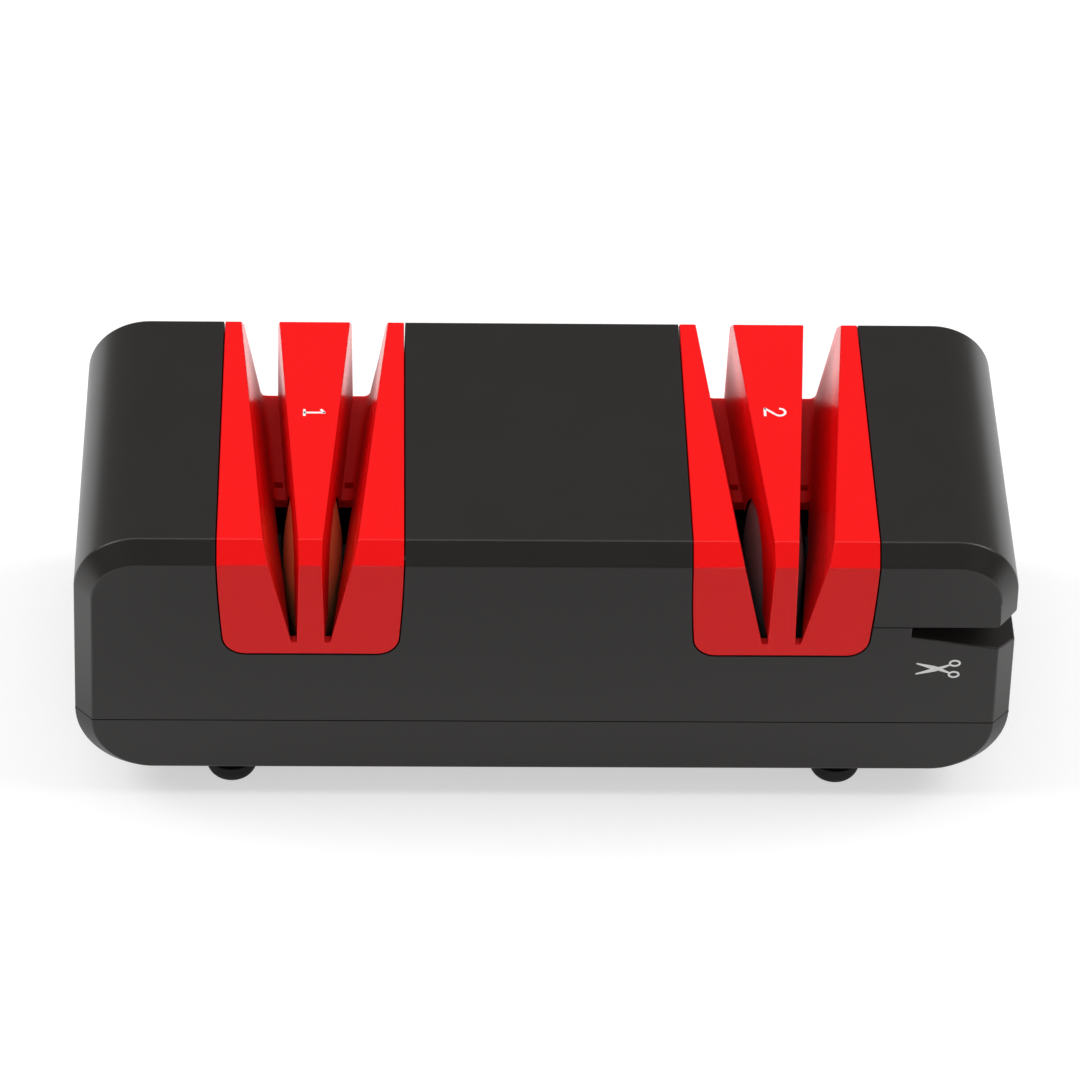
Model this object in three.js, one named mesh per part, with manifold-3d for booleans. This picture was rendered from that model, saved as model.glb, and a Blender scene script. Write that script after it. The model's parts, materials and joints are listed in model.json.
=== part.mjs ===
// Electric knife sharpener: two knife stages over one motor shaft and a scissors slot at the right end.
// Millimetres, X to the right, Y to the back, Z up, with the feet standing on z = 0.
import * as THREE from 'three';
import Module from 'manifold-3d';
import { mergeVertices } from 'three/addons/utils/BufferGeometryUtils.js';

const wasm = await Module();
wasm.setup();

// Counts and angles
const roundSides = 24;
const fineSides = 36;
const smallSides = 12;
const smallRadius = 4.2;
const cornerSteps = 7;
const filletSteps = 3;
const sidesFor = (radius) => (radius < smallRadius ? smallSides : roundSides);
const weldDistance = 1e-4;
const quarterTurn = Math.PI / 2;
const cornerShare = Math.tan(Math.PI / 8);

// Clearances shared by all pieces
const gap = 0.3;
const overrun = 1;

// Driving sizes of the casing
const body = {
  length: 230,
  depth: 92,
  height: 75,
  baseHeight: 20,
  topRadius: 16,
  bottomRadius: 19,
  chamferRise: 4.4,
  chamferRun: 4.7,
  sideDraft: 1,
  wall: 2.4,
};
const lip = { thick: 1.2, reach: 2.5, root: 3 };
const foot = {
  stand: 5.5,
  radius: 6.5,
  tread: 4.2,
  stemRadius: 2.4,
  headRadius: 3.1,
  headHeight: 1.2,
  leftInset: 38,
  rightInset: 41.5,
  sideInset: 10,
};

// Red knife guides
const guide = {
  spacing: 114,
  width: 44.8,
  height: 32.9,
  taper: 1.5,
  cornerRadius: 5.5,
  wall: 2.4,
  slotWall: 1.6,
};
// Places of the slot walls, as shares of half the guide's width
const slotShares = {
  backOuter: 0.817,
  frontOuter: 0.509,
  backDivider: 0.397,
  frontDivider: 0.132,
  backOuterLow: 0.591,
  frontOuterLow: 0.241,
  backDividerLow: 0.414,
  frontDividerLow: 0.166,
  pinHole: 0.393,
};
const slot = {
  floorDepth: 28,
  tipDepth: 29.2,
  tipWidth: 1.1,
  floorFillet: 1.8,
  stepY: 5.3,
  pinHoleRadius: 1.2,
  pinHoleY: 11,
};

// Rotor
const shaft = { radius: 3, y: -12, leftReach: 12.5 };
const wheel = {
  topDepth: 10,
  drawerClearance: 1.3,
  halfThick: 7.5,
  halfRim: 3.4,
  boreRadius: 5.3,
  clearance: 1,
  profileSteps: 6,
};
const hub = { sleeveRadius: 5, flangeRadius: 7.5, flangeThick: 1.8, overhang: 2.1 };
const scissorsWheel = { radius: 12.5, thick: 5, boreRadius: 5.1, clearance: 1 };
const scissorsHub = { sleeveRadius: 4.8, flangeRadius: 9, flangeThick: 2.3, shoulder: 0.6 };

// Scissors slot at the right end
const scissors = {
  partingRise: 10.5,
  ledgeWidth: 8.8,
  innerHeight: 3.3,
  slope: 0.16,
  floorThick: 2.2,
  endWall: 2,
  ledgeThick: 2,
  coverCorner: 2.5,
};

// Motor
const motor = { radius: 19, canWall: 1.6, endThick: 3, bossRadius: 8, bossReach: 5.2 };
const bush = { outerRadius: 5, length: 5.5 };
const magnet = { thick: 2.6, endInset: 9, sideY: 6 };
const slotSides = 8;
const armature = {
  radius: 13.4,
  endInset: 14,
  slots: 12,
  slotRadius: 1.7,
  slotPitch: 11.2,
  slotMouth: 1,
  wireRadius: 1.4,
};
const winding = { innerRadius: 5.5, outerRadius: 12.9, thick: 4, bevel: 1 };
const commutator = { radius: 6.5, length: 6.6, endInset: 2, slitWidth: 0.6, slitDepth: 0.8 };
const brush = { width: 4, thick: 3, length: 8.5, holderWall: 1.2 };
const ringMount = { outerRadius: 12 };
const strap = { thick: 2.8, flange: 9, flangeThick: 3, width: 5.2, guideClearance: 1.1 };
const bearing = { outerRadius: 7.6, length: 4 };
const bearingBlock = { thick: 4.4, wall: 2.4, halfWidth: 10, footHalf: 18, footThick: 3, padHeight: 4 };

// Fasteners
const screw = { radius: 1.5, headRadius: 3, headHeight: 2.2, driveWidth: 1, driveDepth: 0.9 };
const caseScrew = { inward: 3.2, sideInset: 15, length: 18, sink: 9, bossRadius: 5.4, postRadius: 4 };
const coverScrew = { discClearance: 7.5, sideInset: 14, length: 11, postRadius: 3.2 };
const strapScrew = { length: 11, radius: 1.25, headRadius: 2.3 };
const bearingScrew = { length: 6.5 };
const boardScrew = { length: 6 };

// Back panel with the mains inlet and the rocker switch
const panel = { sideMargin: 4.6, topMargin: 14.5, height: 24, recess: 6.5, placeShare: 0.47 };
const inlet = {
  flangeWidth: 26,
  flangeHeight: 16,
  flangeThick: 1.6,
  bodyWidth: 22,
  bodyHeight: 12,
  bodyDepth: 16,
  cavityWidth: 14.5,
  cavityHeight: 7.5,
  cavityDepth: 12,
  pinRadius: 1.2,
  pinPitch: 8,
  pinLength: 9,
};
const rocker = {
  flangeWidth: 15,
  flangeHeight: 22.4,
  flangeThick: 1.6,
  bodyWidth: 13,
  bodyHeight: 20.4,
  bodyDepth: 14,
  wellWidth: 10.6,
  wellHeight: 18.8,
  wellDepth: 6.2,
  halfLength: 8.4,
  underside: 2.5,
  dip: 1.4,
  peak: 3.4,
  pinRadius: 1.1,
  pinReach: 0.7,
  tilt: THREE.MathUtils.degToRad(12),
};

// Rectifier board
const board = {
  halfWidth: 26,
  depth: 28,
  backClearance: 3.6,
  thick: 1.6,
  standHeight: 6,
  postRadius: 3,
  inset: 4,
};
const capacitor = { radius: 5, height: 14, x: 12, fromFront: 13 };
const rectifier = { width: 15, thick: 4, height: 11, x: -10, fromFront: 18 };
const lead = {
  radius: 0.8,
  curveSegments: 3,
  steps: 12,
  x: -10,
  fromFront: 5,
  spread: 5,
  entryRise: 4,
  bow: 9,
};

// Dust drawers under the wheels
const drawer = {
  sideInset: 10.4,
  frontInset: 12,
  height: 10.5,
  lift: 2.5,
  wall: 1.6,
  panelThick: 2.4,
  railWidth: 2,
};
const grip = { radius: 4, halfLength: 8, bite: 1.1 };
const vent = { count: 7, pitch: 7.6, width: 2.4, frontInset: 8, length: 24 };

// Places worked out from the sizes above
const zBottom = foot.stand;
const zTop = zBottom + body.height;
const zSeam = zBottom + body.baseHeight;
const zFloor = zBottom + body.wall;
const zGuide = zTop - guide.height;
const halfLength = body.length / 2;
const halfTop = halfLength - body.sideDraft;
const halfDepth = body.depth / 2;
const yEdge = halfDepth - body.chamferRun;
const guideX = guide.spacing / 2;
const guideHalf = guide.width / 2;
const guideEdge = guideX + guideHalf;
const coverX = guideEdge + gap;
const footY = halfDepth - foot.sideInset;
const caseScrewX = (guideEdge + halfLength) / 2 - caseScrew.inward;
const caseScrewY = halfDepth - caseScrew.sideInset;
const coverScrewY = [
  shaft.y - scissorsWheel.radius - coverScrew.discClearance,
  halfDepth - coverScrew.sideInset,
];
const panelY = halfDepth - panel.recess;
const panelTop = zTop - panel.topMargin;
const panelMiddle = panelTop - panel.height / 2;
const panelHalf = guideX - guideHalf - panel.sideMargin;
const inletX = -panelHalf * panel.placeShare;
const rockerX = panelHalf * panel.placeShare;
const drawerHalf = guideHalf - drawer.sideInset;
const drawerFront = -halfDepth + drawer.frontInset;
const drawerBottom = zFloor + drawer.lift + gap;
const drawerTop = drawerBottom + drawer.height;
const ventFront = -halfDepth + vent.frontInset;

// The knife wheels fill the height between the dust drawers and a depth below the top
const wheelTop = zTop - wheel.topDepth;
const wheelRadius = (wheelTop - drawerTop - wheel.drawerClearance) / 2;
const zAxis = wheelTop - wheelRadius;
const zPart = zAxis + scissors.partingRise;

// The motor and its straps fill the length between the guides
const motorEnd = guideX - guideHalf - strap.guideClearance - strap.width - gap;
const canHalf = motorEnd - motor.endThick;
const armatureHalf = canHalf - armature.endInset;
const commutatorStart = -canHalf + commutator.endInset;
const innerX = coverX + scissors.ledgeWidth;
const coverScrewX = (coverX + innerX - scissors.endWall) / 2;
const padTop = zFloor + bearingBlock.padHeight;
const boardBack = halfDepth - body.wall - board.backClearance;
const boardFront = boardBack - board.depth;
const boardBottom = zFloor + board.standHeight + gap;
const boardTop = boardBottom + board.thick;

// Finishes
const finish = (color, roughness, metalness) =>
  new THREE.MeshStandardMaterial({ color, roughness, metalness });
const blackShell = finish(0x34322f, 0.5, 0);
const redGuide = finish(0xe81616, 0.3, 0);
const coarseGrit = finish(0x7a4a2c, 0.8, 0.1);
const fineGrit = finish(0x2c2a2c, 0.75, 0.1);
const whiteGrit = finish(0xb9b3a6, 0.85, 0);
const steel = finish(0xa9abad, 0.35, 0.9);
const castAlloy = finish(0x8d9093, 0.5, 0.8);
const zincSteel = finish(0x9a9c9e, 0.45, 0.8);
const darkIron = finish(0x3b3d40, 0.6, 0.6);
const copper = finish(0xb0653a, 0.4, 0.9);
const bronze = finish(0xa6854a, 0.5, 0.8);
const carbon = finish(0x222224, 0.8, 0.1);
const ferrite = finish(0x2b2b2e, 0.7, 0.2);
const rubber = finish(0x151515, 0.85, 0);
const blackPlastic = finish(0x1b1b1c, 0.45, 0);
const redPlastic = finish(0xb3161b, 0.35, 0);
const greyPlastic = finish(0x6c6e70, 0.5, 0);
const boardGreen = finish(0x2f6b3c, 0.5, 0);
const sleeveBlue = finish(0x1d2f66, 0.4, 0);
const leadRed = finish(0xb01f1f, 0.5, 0);
const leadBlack = finish(0x1a1a1a, 0.5, 0);

// Turns a closed three.js geometry into a boolean solid
function solidOf(geometry) {
  geometry.deleteAttribute('normal');
  geometry.deleteAttribute('uv');
  const welded = mergeVertices(geometry, weldDistance);
  const mesh = new wasm.Mesh({
    numProp: 3,
    vertProperties: new Float32Array(welded.attributes.position.array),
    triVerts: new Uint32Array(welded.index.array),
  });
  return new wasm.Manifold(mesh);
}

function geometryOf(solid) {
  const mesh = solid.getMesh();
  const geometry = new THREE.BufferGeometry();
  geometry.setAttribute('position', new THREE.BufferAttribute(mesh.vertProperties, 3));
  geometry.setIndex(new THREE.BufferAttribute(mesh.triVerts, 1));
  return geometry;
}

const union = (solids) => solids.reduce((sum, solid) => sum.add(solid));

// Box between two values on each axis
function block([x0, x1], [y0, y1], [z0, z1]) {
  const geometry = new THREE.BoxGeometry(x1 - x0, y1 - y0, z1 - z0);
  geometry.translate((x0 + x1) / 2, (y0 + y1) / 2, (z0 + z1) / 2);
  return solidOf(geometry);
}

// Round bars along each axis
function barX(radius, [x0, x1], y, z, sides = sidesFor(radius)) {
  const geometry = new THREE.CylinderGeometry(radius, radius, x1 - x0, sides);
  geometry.rotateZ(quarterTurn);
  geometry.translate((x0 + x1) / 2, y, z);
  return solidOf(geometry);
}

function barY(radius, x, [y0, y1], z, sides = sidesFor(radius)) {
  const geometry = new THREE.CylinderGeometry(radius, radius, y1 - y0, sides);
  geometry.translate(x, (y0 + y1) / 2, z);
  return solidOf(geometry);
}

function barZ(radius, x, y, [z0, z1], sides = sidesFor(radius)) {
  const geometry = new THREE.CylinderGeometry(radius, radius, z1 - z0, sides);
  geometry.rotateX(quarterTurn);
  geometry.translate(x, y, (z0 + z1) / 2);
  return solidOf(geometry);
}

// Closed profile of [radius, x] points turned about the shaft's line
function turnedX(profile, sides = roundSides) {
  const points = profile.map(([radius, x]) => new THREE.Vector2(radius, x));
  points.push(points[0].clone());
  const geometry = new THREE.LatheGeometry(points, sides);
  geometry.rotateZ(-quarterTurn);
  geometry.translate(0, shaft.y, zAxis);
  return solidOf(geometry);
}

const ringX = (inner, outer, [x0, x1], sides) =>
  turnedX([[inner, x0], [outer, x0], [outer, x1], [inner, x1]], sides);

// Skin through rings of [x, y, z] points, one outline per station along Y, closed at both ends
function loft(rings) {
  const count = rings[0].length;
  const positions = rings.flat(2);
  const faces = [];
  rings.slice(1).forEach((ring, station) => {
    ring.forEach((point, i) => {
      const next = (i + 1) % count;
      const near = station * count;
      const far = near + count;
      faces.push(near + i, far + i, far + next, near + i, far + next, near + next);
    });
  });
  const contour = rings[0].map(([x, , z]) => new THREE.Vector2(x, z));
  const last = (rings.length - 1) * count;
  const backContour = rings.at(-1).map(([x, , z]) => new THREE.Vector2(x, z));
  THREE.ShapeUtils.triangulateShape(contour, []).forEach(([a, b, c]) => faces.push(a, b, c));
  THREE.ShapeUtils.triangulateShape(backContour, []).forEach(([a, b, c]) => {
    faces.push(last + a, last + c, last + b);
  });
  const geometry = new THREE.BufferGeometry();
  geometry.setAttribute('position', new THREE.Float32BufferAttribute(positions, 3));
  geometry.setIndex(faces);
  return solidOf(geometry);
}

const station = (outline, y) => outline.map(([x, z]) => [x, y, z]);
const prism = (outline, [y0, y1]) => loft([station(outline, y0), station(outline, y1)]);
const mirrored = (outline) => outline.map(([x, z]) => [-x, z]).reverse();
const shifted = (outline, dx) => outline.map(([x, z]) => [x + dx, z]);

// Points of an arc in the XZ plane
function arc(x, z, radius, from, to, steps) {
  return Array.from({ length: steps + 1 }, (_, i) => {
    const angle = from + ((to - from) * i) / steps;
    return [x + radius * Math.cos(angle), z + radius * Math.sin(angle)];
  });
}

// Front view of the casing, drawn in by an inset
function bodyOutline(inset) {
  const lowX = halfLength - body.bottomRadius;
  const highX = halfTop - body.topRadius;
  const low = arc(lowX, zBottom + body.bottomRadius, body.bottomRadius - inset, -quarterTurn, 0, cornerSteps);
  const high = arc(highX, zTop - body.topRadius, body.topRadius - inset, 0, quarterTurn, cornerSteps);
  const right = [...low, ...high];
  return [...right, ...mirrored(right)];
}

// Casing with its chamfered front and back edges, drawn in by an inset
function casing(inset) {
  const faceY = halfDepth - inset;
  const edgeY = yEdge - inset * cornerShare;
  const face = bodyOutline(inset + body.chamferRise - inset * (1 - cornerShare));
  const edge = bodyOutline(inset);
  return loft([station(face, -faceY), station(edge, -edgeY), station(edge, edgeY), station(face, faceY)]);
}

const outerCasing = casing(0);
const innerCasing = casing(body.wall);
const wide = [-body.length, body.length];
const deep = [-body.depth, body.depth];
const above = (z) => block(wide, deep, [z, zTop + body.height]);
const below = (z) => block(wide, deep, [zBottom - body.height, z]);

// Half width of a guide at a depth below the top, eased in towards the bottom
const guideHalfAt = (depth) => guideHalf - guide.taper * (depth / guide.height) ** 2;

// Front view of a guide about its own middle, grown by a clearance
function guideOutline(grow, bottom = zGuide) {
  const cornerTop = guide.height - guide.cornerRadius;
  const radius = guide.cornerRadius;
  const side = Array.from({ length: filletSteps }, (_, i) => {
    const depth = cornerTop * (1 - i / filletSteps);
    return [guideHalfAt(depth) + grow, zTop - depth];
  });
  const cornerX = guideHalfAt(cornerTop) - radius;
  const corner = arc(cornerX, bottom + radius, radius + grow, -quarterTurn, 0, filletSteps);
  const topX = guideHalf + grow;
  const right = [...corner.slice(0, -1), ...side, [topX, zTop], [topX, zTop + overrun]];
  return [...right, ...mirrored(right)];
}

// Linear value between the front and the back edge of the top face
const alongDepth = (front, back, y) => front + ((back - front) * (y + yEdge)) / (2 * yEdge);

// Distance of a slot wall from the guide's middle
const slotWall = (wall, y) =>
  guideHalf * alongDepth(slotShares[`front${wall}`], slotShares[`back${wall}`], y);

// Right-hand slot's section at one station; the walls are moved out by grow
function slotSection(y, grow, bottomDepth, bottomWidthShare) {
  const outerTop = slotWall('Outer', y) + grow;
  const outerLow = slotWall('OuterLow', y) + grow;
  const dividerTop = slotWall('Divider', y) - grow;
  const dividerLow = slotWall('DividerLow', y) - grow;
  const lift = (overrun * (outerTop - outerLow)) / slot.floorDepth;
  const bottomOuter = dividerLow + (outerLow - dividerLow) * bottomWidthShare;
  return [
    [dividerTop, zTop + overrun],
    [dividerLow, zTop - bottomDepth - grow],
    [bottomOuter, zTop - bottomDepth - grow],
    [outerLow, zTop - slot.floorDepth + (bottomWidthShare < 1 ? 0 : slot.floorFillet)],
    [outerTop + lift, zTop + overrun],
  ];
}

// One slot: a floor behind the step, a narrow tip in front of it
function slotSolid(grow) {
  const front = -halfDepth - overrun;
  const back = halfDepth + overrun;
  const frontWidth = slotWall('OuterLow', -yEdge) - slotWall('DividerLow', -yEdge);
  const backWidth = slotWall('OuterLow', yEdge) - slotWall('DividerLow', yEdge);
  const tipShare = slot.tipWidth / frontWidth;
  const floorShare = 1 - slot.floorFillet / backWidth;
  const run = (y0, y1, depth, share) =>
    loft([y0, y1].map((y) => station(slotSection(y, grow, depth, share), y)));
  const floorRun = loft([slot.stepY - grow, back].map((y) => station(floorSection(y, grow, floorShare), y)));
  return run(front, slot.stepY + grow, slot.tipDepth, tipShare).add(floorRun);
}

// Section behind the step, with its outer floor corner rounded
function floorSection(y, grow, floorShare) {
  const [top, low, , , outer] = slotSection(y, grow, slot.floorDepth, floorShare);
  const outerLow = slotWall('OuterLow', y) + grow;
  const bottom = zTop - slot.floorDepth - grow;
  const { floorFillet } = slot;
  return [top, [low[0], bottom], [outerLow - floorFillet, bottom], [outerLow, bottom + floorFillet], outer];
}

// Opening below the slot walls that lets the wheel through
function wellSolid() {
  const front = -halfDepth + guide.wall;
  const section = (y) => {
    const outerLow = slotWall('OuterLow', y);
    const dividerLow = slotWall('DividerLow', y);
    const top = zTop - slot.floorDepth;
    const bottom = zGuide - overrun;
    return [[dividerLow, top], [dividerLow, bottom], [outerLow, bottom], [outerLow, top]];
  };
  return loft([front, slot.stepY].map((y) => station(section(y), y)));
}

// Half thickness of a grinding wheel at a radius: a shallow bulge on both faces
const wheelHalfAt = (radius) =>
  wheel.halfThick - (wheel.halfThick - wheel.halfRim) * (radius / wheelRadius) ** 2;

// Wheel profile, grown by a clearance; the bore is left out for the clearance body
function wheelProfile(x, grow, boreRadius) {
  const radii = Array.from(
    { length: wheel.profileSteps + 1 },
    (_, i) => boreRadius + ((wheelRadius - boreRadius) * i) / wheel.profileSteps,
  );
  const face = (side) => radii.map((radius) => {
    const reach = radius + (radius > boreRadius ? grow : 0);
    return [reach, x + side * (wheelHalfAt(radius) + grow)];
  });
  return [...face(-1), ...face(1).reverse()];
}

const sharpener = new THREE.Group();

function piece(name, solid, material, place = [0, 0, 0]) {
  const mesh = new THREE.Mesh(geometryOf(solid), material);
  mesh.name = name;
  mesh.position.set(...place);
  sharpener.add(mesh);
  return mesh;
}

// Space that the turning parts need, cut out of everything beside them
function rotorSpace(x) {
  const reach = wheel.halfThick + hub.overhang + hub.flangeThick;
  const hubSpace = barX(hub.flangeRadius + wheel.clearance, [x - reach, x + reach], shaft.y, zAxis);
  return turnedX(wheelProfile(x, wheel.clearance, 0), fineSides).add(hubSpace);
}

// Knife guide, built about its own middle and then moved to its place
function knifeGuide(x) {
  const shell = outerCasing.translate([-x, 0, 0]);
  const outer = prism(guideOutline(0), deep).intersect(shell);
  const innerHalf = guideHalfAt(guide.height) - guide.wall;
  const inside = innerCasing.translate([-x, 0, 0]);
  const core = inside.intersect(block([-innerHalf, innerHalf], deep, [zBottom, zTop]));
  const walls = slotSolid(guide.slotWall).intersect(outer);
  const pinHole = barZ(slot.pinHoleRadius, guideHalf * slotShares.pinHole, slot.pinHoleY, [zGuide, zTop]);
  const cuts = [slotSolid(0), wellSolid(), pinHole];
  const bothSides = (solid) => solid.add(solid.mirror([1, 0, 0]));
  const shaftSpace = barX(shaft.radius + wheel.clearance, wide, shaft.y, zAxis);
  return outer
    .subtract(core)
    .add(bothSides(walls))
    .subtract(bothSides(union(cuts)))
    .translate([x, 0, 0])
    .subtract(rotorSpace(x))
    .subtract(shaftSpace);
}

const guidePlaces = { coarse: -guideX, fine: guideX };
Object.entries(guidePlaces).forEach(([name, x]) => piece(`${name}_guide`, knifeGuide(x), redGuide));

// Casing parts
const footPlaces = [
  ['front_left', -halfLength + foot.leftInset, -footY],
  ['front_right', halfLength - foot.rightInset, -footY],
  ['rear_left', -halfLength + foot.leftInset, footY],
  ['rear_right', halfLength - foot.rightInset, footY],
];
const caseScrewPlaces = [
  [-caseScrewX, -caseScrewY],
  [caseScrewX, -caseScrewY],
  [-caseScrewX, caseScrewY],
  [caseScrewX, caseScrewY],
];
const sides = [-1, 1];
const saddleX = motorEnd + gap;
const saddleRange = (side) => {
  const ends = [side * saddleX, side * (saddleX + strap.width)];
  return side < 0 ? ends.reverse() : ends;
};
const ringRadius = ringMount.outerRadius;
const strapRadius = ringRadius + gap + strap.thick;
const strapReach = strapRadius + strap.flange;
const strapScrewY = strapRadius + strap.flange / 2;
const postTop = zFloor + board.standHeight;
const boardPosts = sides.flatMap((side) => [
  [side * (board.halfWidth - board.inset), boardFront + board.inset],
  [side * (board.halfWidth - board.inset), boardBack - board.inset],
]);
const bearingRight = guideX + guideHalfAt(guide.height) - guide.wall - gap;
const bearingX = [bearingRight - bearingBlock.thick, bearingRight];
const bearingMiddle = bearingRight - bearingBlock.thick / 2;
const bearingScrewY = (bearingBlock.halfWidth + bearingBlock.footHalf) / 2;
const drawerSpan = (x, grow) => [x - drawerHalf - grow, x + drawerHalf + grow];

// Upper line of the scissors slot's floor at a place along the body
const scissorsFloor = (x) => zPart - scissors.innerHeight - scissors.slope * (x - innerX);
const farX = halfLength + overrun;

// Everything above the parting line and the slot's floor at the right end
function scissorsSpace() {
  const outline = [
    [guideEdge, zPart - gap / 2],
    [innerX, zPart - gap / 2],
    [innerX, scissorsFloor(innerX)],
    [farX, scissorsFloor(farX)],
    [farX, zTop + overrun],
    [guideEdge, zTop + overrun],
  ];
  return prism(outline, deep);
}

// Plates below the scissors slot: ledge beside the guide, end wall and sloping floor
function scissorsFloorPlates() {
  const wallX = innerX - scissors.endWall;
  const ledge = block([coverX, innerX], deep, [zPart - scissors.ledgeThick, zPart]);
  const endWall = block([wallX, innerX], deep, [scissorsFloor(wallX) - scissors.floorThick, zPart]);
  const floor = prism(
    [
      [wallX, scissorsFloor(wallX) - scissors.floorThick],
      [farX, scissorsFloor(farX) - scissors.floorThick],
      [farX, scissorsFloor(farX)],
      [wallX, scissorsFloor(wallX)],
    ],
    deep,
  );
  return union([ledge, endWall, floor]);
}

const discFace = innerX - gap;
const discBack = discFace - scissorsWheel.thick;
const hubBack = discBack - gap - scissorsHub.flangeThick;
const discX = [hubBack - scissorsWheel.clearance, innerX + gap];
const discSpace = barX(scissorsWheel.radius + scissorsWheel.clearance, discX, shaft.y, zAxis);

// Recess in the back wall that holds the inlet and the switch
function panelBox(grow, from) {
  const width = panelHalf + grow;
  const z = [panelTop - panel.height - grow, panelTop + grow];
  return block([-width, width], [from - grow, halfDepth + overrun], z);
}

function mainShell() {
  const upper = outerCasing.intersect(above(zSeam + gap / 2));
  const post = ([x, y]) => {
    const top = x > 0 ? scissorsFloor(x) - scissors.floorThick / 2 : zTop - body.wall / 2;
    return barZ(caseScrew.postRadius, x, y, [zSeam + gap / 2, top]);
  };
  const holes = caseScrewPlaces.map(([x, y]) =>
    barZ(screw.radius + gap / 2, x, y, [zSeam - overrun, zSeam + caseScrew.length - caseScrew.sink]));
  const ledgeBottom = zPart - scissors.ledgeThick;
  const headRoom = [ledgeBottom - screw.headHeight - 2 * gap, ledgeBottom];
  const coverHoles = coverScrewY.flatMap((y) => [
    barZ(screw.radius + gap, coverScrewX, y, [ledgeBottom - overrun, zPart + overrun]),
    barZ(screw.headRadius + gap, coverScrewX, y, headRoom),
  ]);
  const inside = union([scissorsFloorPlates(), panelBox(body.wall, panelY), ...caseScrewPlaces.map(post)]);
  const panelHoles = [
    block(
      [inletX - inlet.bodyWidth / 2 - gap, inletX + inlet.bodyWidth / 2 + gap],
      [panelY - body.wall - overrun, halfDepth],
      [panelMiddle - inlet.bodyHeight / 2 - gap, panelMiddle + inlet.bodyHeight / 2 + gap],
    ),
    block(
      [rockerX - rocker.bodyWidth / 2 - gap, rockerX + rocker.bodyWidth / 2 + gap],
      [panelY - body.wall - overrun, halfDepth],
      [panelMiddle - rocker.bodyHeight / 2 - gap, panelMiddle + rocker.bodyHeight / 2 + gap],
    ),
  ];
  const pockets = Object.values(guidePlaces).map((x) => prism(shifted(guideOutline(gap), x), deep));
  return upper
    .subtract(innerCasing)
    .add(inside.intersect(upper))
    .subtract(panelBox(0, panelY))
    .subtract(union([...pockets, scissorsSpace(), discSpace, ...panelHoles, ...holes, ...coverHoles]));
}

// Cover over the scissors slot, with its lower outer corner rounded
function scissorsCover() {
  const bottom = zPart + gap / 2;
  const sideX = (z) => halfLength - (body.sideDraft * (z - zSeam)) / (zTop - zSeam);
  const radius = scissors.coverCorner;
  const corner = arc(sideX(bottom) - radius, bottom + radius, radius, -quarterTurn, 0, filletSteps);
  const outline = [
    [coverX, bottom],
    ...corner,
    [farX, zTop - body.topRadius],
    [farX, zTop + overrun],
    [coverX, zTop + overrun],
  ];
  const outer = prism(outline, deep).intersect(outerCasing);
  const ceiling = block([innerX + gap, farX], deep, [bottom, bottom + scissors.floorThick]);
  const innerWall = block([coverX, coverX + body.wall], deep, [bottom, zTop]);
  const posts = coverScrewY.map((y) => barZ(coverScrew.postRadius, coverScrewX, y, [bottom, zTop]));
  const holes = coverScrewY.map((y) =>
    barZ(screw.radius + gap / 2, coverScrewX, y, [bottom - overrun, bottom + coverScrew.length]));
  return outer
    .subtract(innerCasing)
    .add(union([ceiling, innerWall, ...posts]).intersect(outer))
    .subtract(union([discSpace, ...holes]));
}

// Tongue that stands up from the base inside the main shell
function lipRing() {
  const band = (inset, z) =>
    casing(inset).subtract(casing(body.wall + gap + lip.thick)).intersect(block(wide, deep, z));
  const root = band(body.wall - gap, [zSeam - lip.root, zSeam - gap / 2]);
  return root.add(band(body.wall + gap, [zSeam - gap, zSeam + lip.reach]));
}

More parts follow.
